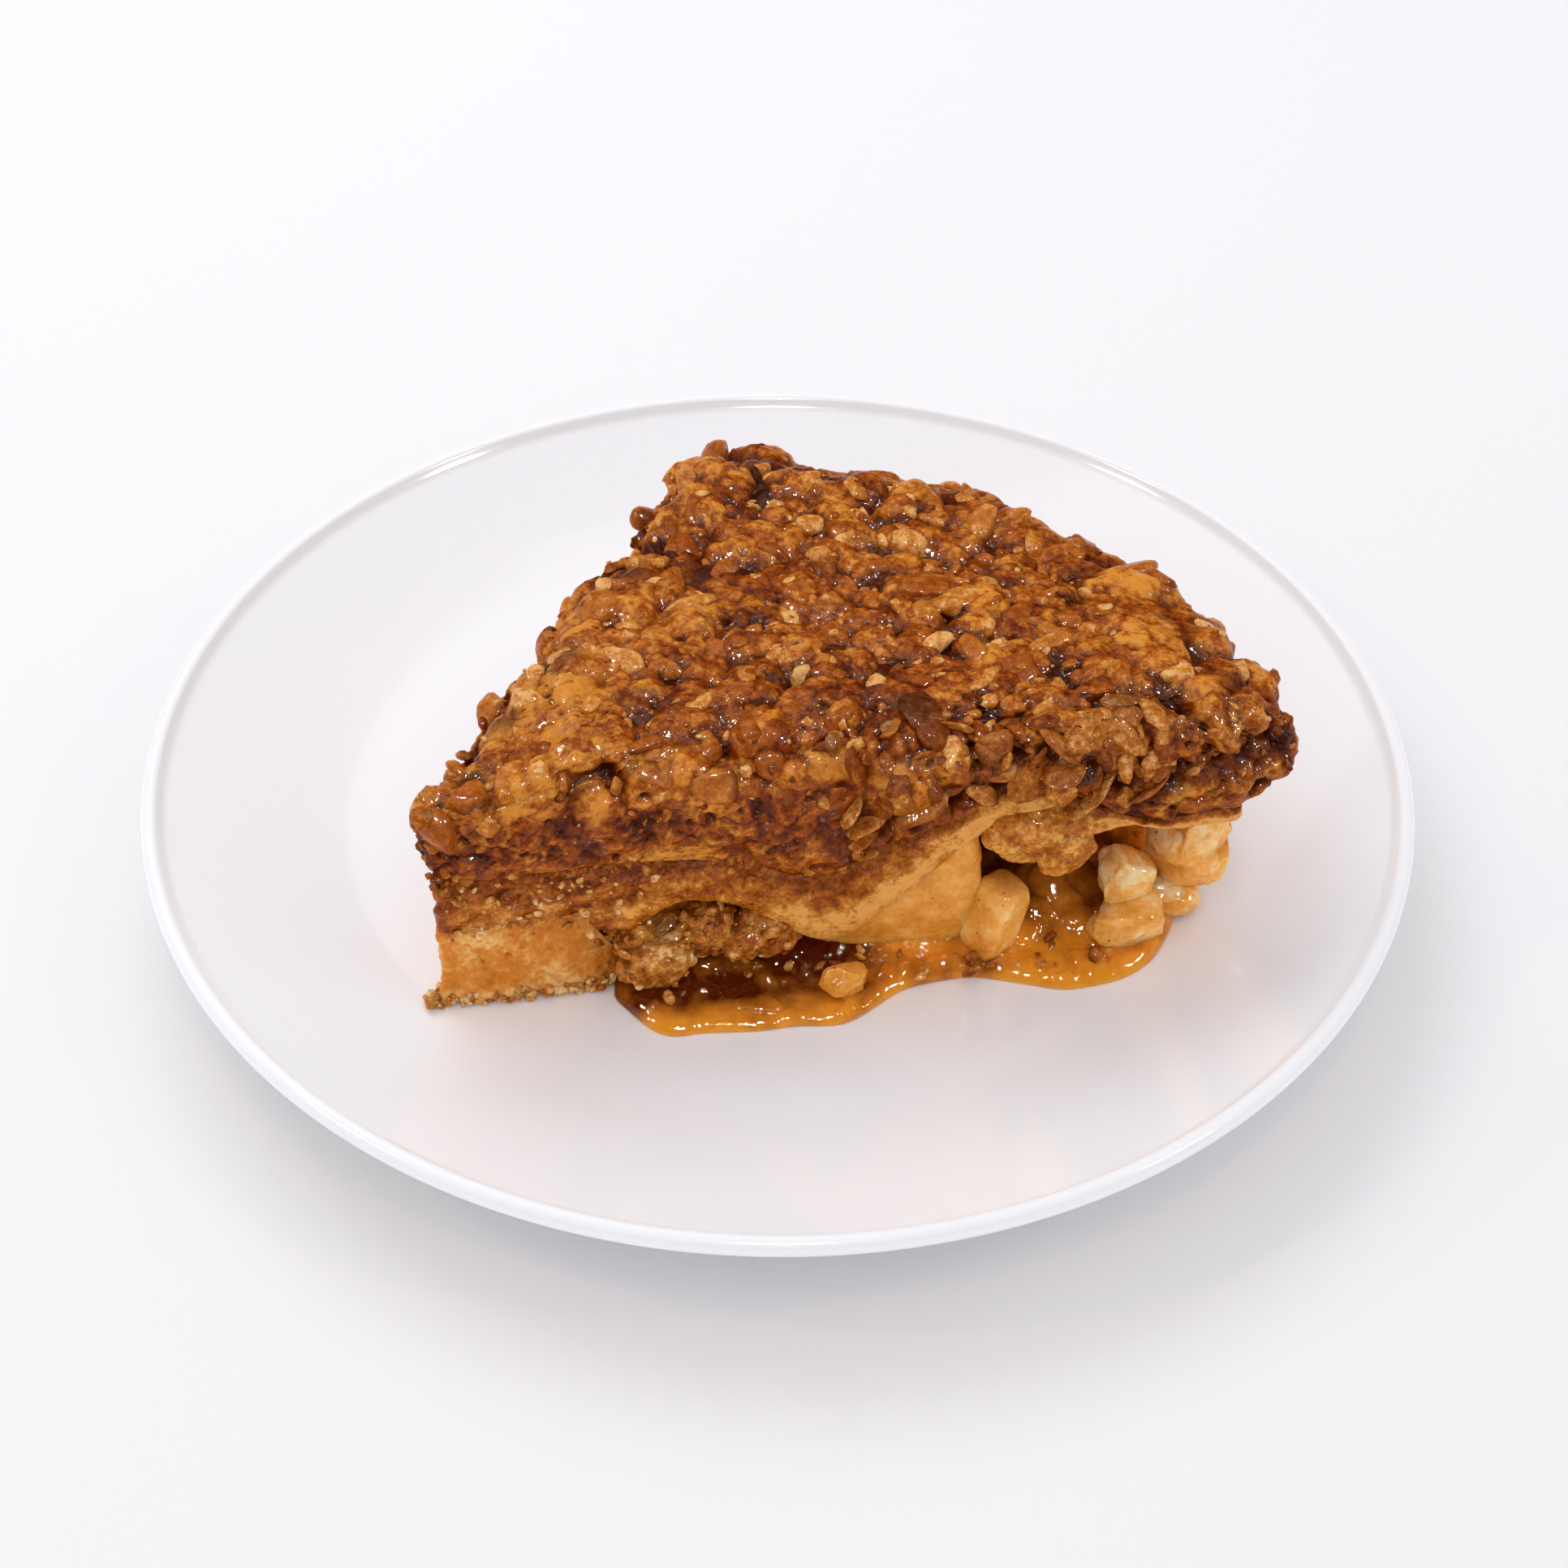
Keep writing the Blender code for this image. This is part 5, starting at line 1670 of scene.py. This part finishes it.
@dataclass
class SoftPastry(Layer):
    """The soft pastry layer between the topping and the fruit, with its torn flap.

    Attributes:
        samples: Points along the front cut, the rim and the left cut.
        side_rows: Rings from the foot to the upper edge.
    """

    samples: tuple[int, int, int] = (300, 130, 130)
    side_rows: int = 56
    label = "pastry_layer"
    slot = Slot.PASTRY
    node = "soft_pastry"

    def make(self) -> Form:
        """Loft the band: fibres along the cut, small crumbs and a rolled lower edge.

        Returns:
            The layer, with the flap that hangs into the hollow.
        """
        cut = self.cut
        ring, rim = cut.wedge(self.samples, cut.wall_top + 0.4 * MM, 0.5 * MM, 1.4 * MM, cut.corner)
        away = outward(ring)

        def top(s: Array, w: Array) -> Array:
            """Return the upper face, which touches the topping."""
            return cut.topping_base(s, w) + 0.2 * MM

        insets = (0.3, 0.6, 0.84, 0.95)
        rows = [cut.lift(cut.toward(ring, f), cut.pastry_base) for f in insets]
        shares = np.linspace(0.0, 1.0, self.side_rows)
        low, high = cut.pastry_base(*ring.T), top(*ring.T)
        block = falloff(33 * MM, 40 * MM, ring[:, 0]) * (1.0 - rim)
        for share in shares:
            points = cut.lift(ring, low + (high - low) * share)
            swell = math.sin(math.pi * share**0.7)
            belly = (high - low) * 0.14 * (1.0 - rim) + drift(points, 6 * MM, 31) * 0.7 * MM
            leaning = points + np.outer(points[:, 0], (0.0, 0.0, -0.3))
            fibres = drift(leaning, (6 * MM, 6 * MM, 1.4 * MM), 33) * 0.35 * MM
            fibres += roughen(points, 3.2 * MM, 34) * 0.4 * MM
            crumbs = (Nuts.over(points, 2.6 * MM, 35).height - 0.4) * 0.7 * MM
            fine = roughen(points, 1.4 * MM, 36) * 0.2 * MM
            edge = math.sin(math.pi * min(max(share, 0.03), 0.5)) ** 0.35
            edge = edge + (1.0 - edge) * block
            roll = belly * swell * (1.0 - 0.75 * block)
            step = roll + (fibres + crumbs + fine) * edge - 0.6 * MM * (share < 0.02) * (1 - block)
            points[:, :2] += away * step[:, None]
            points[:, :2] -= away * (0.45 * MM * block * (1.0 - share) ** 2)[:, None]
            points[:, 2] -= 1.2 * MM * block * (1.0 - share) ** 6
            rows.append(points)
        rows += [cut.lift(cut.toward(ring, f), top) for f in insets[::-1]]
        grid = np.array(rows)
        up = np.repeat(np.concatenate([np.zeros(4), shares, np.ones(4)]), len(ring))
        points = grid.reshape(-1, 3)
        lumps = Lumps.over(points, 2.0 * MM, 35)
        leaning = points + np.outer(points[:, 0], (0.0, 0.0, -0.3))
        streaks = 0.6 * drift(leaning, (8 * MM, 8 * MM, 1.8 * MM), 37)
        streaks += 0.5 * drift(points, 4 * MM, 38)
        tone = 0.42 + 0.34 * streaks - 0.08 * smoothstep(0.6, 1.0, up)
        tone += 0.12 * falloff(28 * MM, 36 * MM, points[:, 0]) * (1.0 - up)
        # The rolled lower edge is paler pastry, lightened further as painted light against the
        # shadow of the topping over it.
        rolled = smoothstep(44 * MM, 60 * MM, points[:, 0]) * falloff(0.35, 0.75, up)
        tone += 0.75 * rolled * (points[:, 1] < 12 * MM)
        # Painted shade between the small lumps.
        seam = np.clip(0.4 * falloff(0.05, 0.4, lumps.domes()), 0, 0.8)
        patch = 0.35 * smoothstep(0.7, 1.0, up + 0.3 * streaks)
        tone = np.clip(tone, 0, 1)
        layer = self.close(grid, cut.pastry_base, top, tone=tone, seam=seam, patch=patch)
        flaps = [block.make(cut, cut.topping_base) for block in FLAPS]
        # The flaps are lightened overall, which paints in the pale highlights that they catch.
        for flap in flaps:
            flap.values["tone"] += 0.22
        return layer.join(*flaps)


@dataclass
class Crust(Layer):
    """The short crust: a solid block at the tip, a thin floor and the leaning rim wall.

    Attributes:
        samples: Points along the front cut, the rim and the left cut.
        side_rows: Rings from the foot to the upper edge.
    """

    samples: tuple[int, int, int] = (330, 150, 140)
    side_rows: int = 44
    label = "crust_case"
    slot = Slot.CRUST
    node = "crust"

    def make(self) -> Form:
        """Loft the crust: its foot is scalloped by domes where it crumbles.

        Returns:
            The crust.
        """
        cut = self.cut
        radius, corner = cut.wall_foot, cut.lower_corner
        ring, rim = cut.wedge(self.samples, radius, cut.lower_front, 2.0 * MM, corner)
        away = outward(ring)
        wall = smoothstep(0.55, 1.0, rim)
        lean = (cut.wall_top - cut.wall_foot) * wall

        def upper(flat: Array, share: float) -> Array:
            """Return the upper edge: the pastry's underside along the wall."""
            low = cut.crust_top(*flat.T)
            return low + (cut.pastry_base(*flat.T) - low) * wall * share

        rows = [cut.lift(cut.toward(ring, f), cut.floor) for f in (0.5, 0.88, 0.97)]
        shares = np.linspace(0.0, 1.0, self.side_rows)
        scallop = drift(cut.lift(ring, 0.0), 4.5 * MM, 3) * 0.7 * MM
        for share in shares:
            flat = ring + away * (lean * share + scallop * (1.0 - share))[:, None]
            base = cut.floor(*flat.T)
            points = cut.lift(flat, base + (upper(flat, 1.0) + 0.3 * MM - base) * share)
            foot = falloff(0.12, 0.4, np.array(share))
            crumbs = Lumps.over(points, 2.3 * MM, 5).domes() - 0.55
            grains = Lumps.over(points, 1.1 * MM, 6).domes() - 0.5
            pits = Lumps.over(points, 3.1 * MM, 9)
            pit = (pits.tone > 0.6) * falloff(0.08, 0.32, pits.nearest)
            step = crumbs * (0.4 + 0.9 * foot) + grains * 0.3 + roughen(points, 3 * MM, 7) * 0.35
            step = step - 0.9 * pit * (1.0 - foot)
            points[:, :2] += away * (step * MM)[:, None]
            rows.append(points)
        reach = np.linalg.norm(ring - np.array(cut.middle), axis=1)
        thick = cut.wall_thickness
        for inset, share in ((0.5 * MM, 1.0), (thick, 1.0), (thick + 2 * MM, 0.0)):
            flat = cut.toward(ring, 1.0 - (inset - lean * (0.3 + 0.7 * share)) / reach)
            rows.append(cut.lift(flat, upper(flat, share)))
        inner = rows[-1][:, :2]
        rows += [cut.lift(cut.toward(inner, f), cut.crust_top) for f in (0.9, 0.8, 0.6, 0.45, 0.2)]
        grid = np.array(rows)
        points = grid.reshape(-1, 3)
        over = np.ones(len(grid) - 3 - len(shares))
        up = np.repeat(np.concatenate([np.zeros(3), shares, over]), len(ring))
        on_rim = np.tile(rim, len(grid))
        tone = 0.6 + 0.22 * roughen(points, 7 * MM, 8) + 0.3 * falloff(0.05, 0.3, up)
        tone -= 0.3 * on_rim
        # Painted shade between the fine grains.
        seam = 0.35 * falloff(0.0, 0.35, Lumps.over(points, 1.1 * MM, 6).domes())
        patch = 0.55 * smoothstep(16 * MM, 30 * MM, points[:, 0]) * (1.0 - on_rim)
        tone, patch = np.clip(tone, 0, 1), np.clip(patch, 0, 0.8)
        return self.close(grid, cut.floor, cut.crust_top, tone=tone, seam=seam, patch=patch)


@dataclass
class Filling(Layer):
    """Cooked filling between the crust and the pastry, with the hollow it ran out of.

    Attributes:
        samples: Points along the front cut, the rim and the left cut.
        side_rows: Rings from the foot to the upper edge.
        hollow_depth: Depth of the hollow in the front cut.
        hollow_at: Where it lies along that cut.
    """

    samples: tuple[int, int, int] = (320, 100, 120)
    side_rows: int = 52
    hollow_depth: float = 15 * MM
    hollow_at: float = 94 * MM
    label = "apple_filling_core"
    slot = Slot.FILLING
    node = "apple_filling"

    def make(self) -> Form:
        """Loft the filling: the hollow is a bell along S times an arch in height.

        Returns:
            The filling.
        """
        cut = self.cut

        def front_inset(s: Array) -> Array:
            """Return the front's inset: a little behind the crust."""
            return cut.lower_front(s) + 0.6 * MM

        def base(s: Array, w: Array) -> Array:
            """Return the underside, inside the crust's floor."""
            return cut.floor(s, w) + 1.2 * MM

        def top(s: Array, w: Array) -> Array:
            """Return the upper face, inside the pastry layer."""
            return cut.pastry_base(s, w) + 1.0 * MM

        radius = cut.wall_foot - cut.wall_thickness - 1.6 * MM
        ring, rim = cut.wedge(self.samples, radius, front_inset, 2.6 * MM, cut.lower_corner)
        away = outward(ring)
        hollow = self.hollow_depth * bump(ring[:, 0], self.hollow_at, 8 * MM)
        hollow = hollow * falloff(6 * MM, 10 * MM, ring[:, 1])
        # Round the tip the crust is solid, so the filling sinks behind its faces there.
        behind = 5 * MM * falloff(31 * MM, 37 * MM, np.hypot(*ring.T))
        rows = [cut.lift(cut.toward(ring, 0.5), base)]
        for share in np.linspace(0.0, 1.0, self.side_rows):
            arch = math.sin(math.pi * share)
            flat = ring + np.column_stack([0 * hollow, hollow * arch]) - away * behind[:, None]
            low, high = base(*flat.T), top(*flat.T)
            points = cut.lift(flat, low + (high - low) * share)
            chunks = (Lumps.over(points, 9 * MM, 21).domes() - 0.6) * 2.2 * arch * (1.0 - rim)
            chunks += (Lumps.over(points, 4 * MM, 22).domes() - 0.5) * 1.1 * arch
            chunks += roughen(points, 2.2 * MM, 23) * 0.3
            points[:, :2] += away * (chunks * MM)[:, None]
            rows.append(points)
        rows.append(cut.lift(cut.toward(ring, 0.5), top))
        grid = np.array(rows)
        lumps = Lumps.over(grid.reshape(-1, 3), 4 * MM, 22)
        # Towards the back of the hollow the filling is darker and takes the patch colour: partly
        # syrup-soaked pulp, partly painted shade in the recess. The seam is painted shade between
        # lumps.
        deep = np.tile(hollow / self.hollow_depth, len(grid))
        tone = np.clip(0.3 + 0.45 * lumps.tone - 0.35 * deep, 0, 1)
        seam = 0.6 * falloff(0.0, 0.5, lumps.domes())
        return self.close(grid, base, top, tone=tone, seam=seam, patch=0.5 * deep)


@dataclass
class Syrup(Layer):
    """The syrup that ran out of the front cut: a low body with a rounded edge.

    Attributes:
        edge: Front edge of the pool as (S, W), in millimetres.
        depth: Its depth in front of the slice.
        back: W where it ends inside the slice.
        climb: How far it climbs the foot of the fruit.
        round_edge: Width of its rounded front edge.
        round_end: Length of its rounded ends.
        samples: Cross-sections, and corners over and under each.
    """

    edge: tuple = (
        (29, -3.5), (35, -10.5), (45, -11.3), (56, -11.9), (62.5, -12.6), (67.5, -9.0),
        (72, -5.4), (83, -4.6), (94, -9.3), (106, -8.4), (112, -4.0), (116, 1.5),
    )
    depth: float = 2.5 * MM
    back: float = 8.0 * MM
    climb: float = 2.4 * MM
    round_edge: float = 2.8 * MM
    round_end: float = 6.0 * MM
    samples: tuple[int, int, int] = (330, 84, 8)
    label = "syrup_pool"
    slot = Slot.SYRUP
    node = "syrup"

    def make(self) -> Form:
        """Loft cross-sections along S, each from its back over the top to the front edge.

        Over the front edge the height rises as a quarter circle, and both ends narrow as
        half ellipses. Behind, the syrup climbs the foot of the fruit and the hollow.

        Returns:
            The pool.
        """
        cut = self.cut
        edge = np.array(self.edge) * MM
        s = np.linspace(edge[0, 0], edge[-1, 0], self.samples[0])
        front = np.interp(s, edge[:, 0], edge[:, 1])
        bell = np.exp(-0.5 * (np.linspace(-3, 3, 61)) ** 2)
        front = np.convolve(np.pad(front, 30, "edge"), bell / bell.sum(), "valid")
        front = front + 0.8 * MM * drift(cut.lift(np.column_stack([s, s * 0]), 0.0), 7 * MM, 97)
        back = cut.lower_front(s) + 1.5 * MM + 3 * MM * smoothstep(34 * MM, 40 * MM, s)
        back = np.minimum(back, self.back) + 7 * MM * bump(s, 94 * MM, 9 * MM)
        end = np.clip(np.minimum(s - s[0], s[-1] - s) / self.round_end, 0.0, 1.0)
        end = np.sqrt(1.0 - (1.0 - end) ** 2) * 0.98 + 0.02
        middle = 0.6 * front + 0.4 * back
        front, back = middle + (front - middle) * end, middle + (back - middle) * end
        over = np.sin(np.linspace(0.0, 0.5 * math.pi, self.samples[1]))
        across = np.concatenate([over, np.linspace(0.98, 0.02, self.samples[2])])
        w = back[:, None] + (front - back)[:, None] * across
        flat = np.stack([np.broadcast_to(s[:, None], w.shape), w], axis=-1).reshape(-1, 2)
        into = np.clip((w - front[:, None]) / self.round_edge, 0.0, 1.0)
        height = (np.sqrt(1.0 - (1.0 - into) ** 2) * end[:, None]).ravel() * 0.94 + 0.06
        depth = self.depth * (0.7 + 0.3 * smoothstep(-8 * MM, 2 * MM, flat[:, 1]))
        depth = depth + self.climb * smoothstep(-2.5 * MM, 5 * MM, flat[:, 1])
        cave = bump(flat[:, 0], 95 * MM, 8 * MM)
        depth = depth + cave * 6 * MM * smoothstep(2 * MM, 15 * MM, flat[:, 1])
        ground = cut.lift(flat, 0.0)
        lumps = Nuts.over(ground, 3.4 * MM, 93, 2.4)
        waves = roughen(ground, 9 * MM, 91) * 0.25 + (lumps.tone > 0.62) * lumps.height * 0.7
        top = (depth + waves * MM) * height
        on_top = np.tile(np.arange(len(across)) < len(over), len(s))
        z = cut.floor(*flat.T) - 0.25 * MM + np.where(on_top, top, 0.0)
        points = np.column_stack([flat, z])
        deep = smoothstep(-10.0 * MM, -4.5 * MM, flat[:, 1]) + 0.3 * roughen(points, 7 * MM, 92)
        right = smoothstep(66 * MM, 76 * MM, flat[:, 0])
        shore = smoothstep(-5 * MM, 2 * MM, flat[:, 1]) * (1.0 - cave)
        deep = deep - right * (0.7 - 0.5 * smoothstep(-2 * MM, 4 * MM, flat[:, 1]) + 0.2 * shore)
        rings = points.reshape(*w.shape, 3)
        ends = [rings[0].mean(axis=0), rings[-1].mean(axis=0)]
        tone = np.concatenate([np.clip(deep, 0, 1), [0.2, 0.2]])
        return Form(cut.world(np.vstack([points, *ends])), loft_faces(*w.shape), {"tone": tone})


@dataclass
class Crumbs:
    """Lumps of crumbled pastry in the front cut and loose crumbs round the tip block.

    Attributes:
        cut: The slice's outline and heights.
    """

    cut: Slice

    def build(self, finish: Material) -> None:
        """Make the lumps, the crumbs over them and along the foot, and those on the cut.

        Args:
            finish: Material of the crumbs.
        """
        cut = self.cut
        for block in PASTRY_BLOCKS:
            form = block.make(cut, cut.pastry_base)
            form.piece(f"baked_{block.name}", finish, Slot.CRUMB, [block.name])
        for lay in (self.over_lumps(), self.along_foot(), self.on_cut()):
            lay(finish, Slot.CRUMB)

    def over_lumps(self) -> Callable[[Material, Slot], None]:
        """Cover the lumps with small crumbs, and let bits lie in the syrup."""
        cut = self.cut
        places, facing = [], []
        for i, block in enumerate(PASTRY_BLOCKS):
            points = block.make(cut, cut.pastry_base).points
            away = unit(points - cut.world(np.array(block.centre) * MM))
            shown = np.flatnonzero(away @ cut.turned(np.array((0.0, -1.0, 0.3))) > 0.1)
            picked = shown[spread(points[shown], 30, 1.6 * MM, 90 + i)]
            places.append(points[picked])
            facing.append(away[picked])
        draw = np.random.default_rng(27)
        heaped, afloat = 40, 60
        s = draw.uniform(26, 35, size=heaped) * MM
        z = draw.uniform(10.5, 22.0, size=heaped) * MM
        places.append(cut.world(np.column_stack([s, cut.lower_front(s) + 0.3 * MM, z])))
        facing.append(np.tile(cut.turned(FRONT), (heaped, 1)))
        s = draw.uniform(36, 103, size=afloat) * MM
        w = draw.uniform(-6.0, 3.0, size=afloat) * MM
        z = cut.floor(s, w) + draw.uniform(1.6, 2.8, size=afloat) * MM
        places.append(cut.world(np.column_stack([s, w, z])))
        facing.append(np.tile((0.0, 0.0, 1.0), (afloat, 1)))
        count = sum(map(len, places))
        scatter = Scatter("crumble_in_syrup", count, (1.2, 3.4), sink=0.6, tilt=40, seed=28)
        return scatter.lay(np.vstack(places), np.vstack(facing), (0.15, 0.8), 0.6)

    def along_foot(self) -> Callable[[Material, Slot], None]:
        """Lay crumbs on the plate against the foot of the tip block."""
        cut = self.cut
        draw = np.random.default_rng(21)
        count = 190
        s = draw.uniform(1.5, 33, size=count) * MM
        w = cut.lower_front(s) - draw.uniform(-0.8, 1.0, size=count) ** 3 * MM - 0.3 * MM
        along = draw.uniform(2, 34, size=count // 3) * MM
        s = np.concatenate([s, along * math.cos(cut.angle) + 1.4 * MM])
        w = np.concatenate([w, along * math.sin(cut.angle) - 0.4 * MM])
        z = cut.floor(s, w) + draw.uniform(0.0, 1.2, size=len(s)) ** 2 * MM
        scatter = Scatter("foot_crumbs", len(s), (0.8, 2.1), (1, 0.9, 0.8), sink=0.2, seed=22)
        places = cut.world(np.column_stack([s, w, z]))
        return scatter.lay(places, np.array((0.0, 0.0, 1.0)), (0.4, 1.0), 0.3)

    def on_cut(self) -> Callable[[Material, Slot], None]:
        """Stick pale crumbs on the left end of the pastry band."""
        cut = self.cut
        draw = np.random.default_rng(23)
        count = 90
        s = (5 + 31 * draw.uniform(size=count) ** 1.3) * MM
        z = draw.uniform(22.5, 33.0, size=count) * MM
        places = cut.world(np.column_stack([s, np.full(count, -0.2 * MM), z]))
        scatter = Scatter("crumbs_on_cut", count, (0.5, 1.9), (1, 0.8, 0.7), sink=0.5, seed=24)
        return scatter.lay(places, cut.turned(FRONT), (0.4, 1.0), 0.4)


# ---- Studio ----


@dataclass(frozen=True)
class Lamp:
    """A rectangular softbox that looks at the plate.

    Attributes:
        name: Name of the light.
        azimuth: Direction in degrees: 0 is behind the plate, 90 to its right.
        elevation: Height above the horizon in degrees.
        distance: Distance from the plate in metres.
        size: Width and height in metres.
        power: Power in watts.
        colour: Hex colour.
        diffuse: Whether it lights matte surfaces.
        glossy: Whether glossy surfaces mirror it.
    """

    name: str
    azimuth: float
    elevation: float
    distance: float = 1.0
    size: tuple[float, float] = (0.05, 0.05)
    power: float = 15.0
    colour: str = "#FFE9D2"
    diffuse: bool = False
    glossy: bool = True

    def build(self) -> None:
        """Hang the light."""
        lamp = bpy.data.lights.new(self.name, "AREA")
        lamp.shape = "RECTANGLE"
        lamp.size, lamp.size_y = self.size
        lamp.energy = self.power
        lamp.color = linear(self.colour)[:3]
        item = bpy.data.objects.new(self.name, lamp)
        a, e = math.radians(self.azimuth), math.radians(self.elevation)
        toward = Vector((math.sin(a) * math.cos(e), math.cos(a) * math.cos(e), math.sin(e)))
        item.location = toward * self.distance
        item.rotation_mode = "QUATERNION"
        item.rotation_quaternion = toward.to_track_quat("Z", "Y")
        item.visible_diffuse = self.diffuse
        item.visible_glossy = self.glossy
        bpy.context.scene.collection.objects.link(item)


@dataclass
class Studio:
    """Pale floor, softboxes and the camera.

    Attributes:
        lamps: The lights: one soft key, its sheen, and small ones that only glint.
        ambient: Strength of the room's even light.
        room: Colour of that light.
        half: Half the floor's width in metres.
        target: Point that the camera looks at.
        elevation: Camera's height above the horizon in degrees.
        distance: Its distance in metres.
        roll: Its roll in degrees.
        lens: Focal length over the sensor's width, both in millimetres.
        sensor: The sensor's width.
    """

    lamps: tuple[Lamp, ...] = (
        Lamp("key_softbox", -34, 54, 1.1, (0.9, 0.6), 3.3, "#FFFFFF", True, False),
        Lamp("key_sheen", -34, 54, 1.05, (0.86, 0.57), 1.4, "#FFFFFF"),
        Lamp("left_glint", -102, 46),
        Lamp("right_glint", 108, 44, power=12.0),
        Lamp("front_glint", 178, 63),
    )
    ambient: float = 0.88
    room: str = "#FBFAFF"
    half: float = 3.0
    target: Triple = (0.93 * MM, -8.27 * MM, 20 * MM)
    elevation: float = 42.21
    distance: float = 0.45
    roll: float = -0.64
    lens: float = 66.0
    sensor: float = 36.0

    def build(self, paper: Material) -> None:
        """Lay the floor, hang the lights and set the camera.

        Args:
            paper: Material of the floor.
        """
        scene = bpy.context.scene
        scene.view_settings.view_transform = "Standard"
        mesh = bpy.data.meshes.new("floor")
        signs = ((-1, -1), (1, -1), (1, 1), (-1, 1))
        corners = [(x * self.half, y * self.half, 0) for x, y in signs]
        mesh.from_pydata(corners, [], [(0, 1, 2, 3)])
        mesh.materials.append(paper)
        floor = bpy.data.objects.new("floor", mesh)
        scene.collection.objects.link(floor)
        world = bpy.data.worlds.new("room")
        world.use_nodes = True
        back = world.node_tree.nodes["Background"]
        fill(back, {"Color": linear(self.room), "Strength": self.ambient})
        # Gloss mirrors the softboxes and the plate alone, so dark syrup stays dark.
        world.cycles_visibility.glossy = False
        scene.world = world
        for lamp in self.lamps:
            lamp.build()
        self.add_camera()

    def add_camera(self) -> None:
        """Set the camera at its angle, looking at the target, with its slight roll."""
        lens = bpy.data.cameras.new("camera")
        lens.lens = self.lens
        lens.sensor_width = self.sensor
        lens.clip_start = 0.01
        camera = bpy.data.objects.new("camera", lens)
        tilt = math.radians(self.elevation)
        back = Vector((0.0, -math.cos(tilt), math.sin(tilt)))
        roll = Matrix.Rotation(math.radians(-self.roll), 3, "Z")
        rotation = back.to_track_quat("Z", "Y").to_matrix() @ roll
        place = Vector(self.target) + back * self.distance
        camera.matrix_world = Matrix.LocRotScale(place, rotation, None)
        bpy.context.scene.collection.objects.link(camera)
        bpy.context.scene.camera = camera


def main() -> None:
    """Build the studio, the plate and the slice, and report every piece."""
    logging.basicConfig(level=logging.INFO, format="%(name)s: %(message)s")
    cut = Slice()
    Studio().build(StudioPaper().build())
    Plate(cut.plate).build(GlazedPorcelain().build())
    topping = Topping(cut)
    topping.build(CARAMELISED_TOPPING.build())
    ToppingBits(topping).build(TOASTED_NUT.build(), BROKEN_TOPPING.build())
    SoftPastry(cut).build(SOFT_PASTRY.build())
    Crust(cut).build(SHORT_CRUST.build())
    Crumbs(cut).build(GLAZED_CRUMB.build())
    Filling(cut).build(COOKED_FILLING.build())
    ApplePieces(cut).build(STEWED_APPLE.build())
    Syrup(cut).build(AmberSyrup().build())


if __name__ == "__main__":
    main()
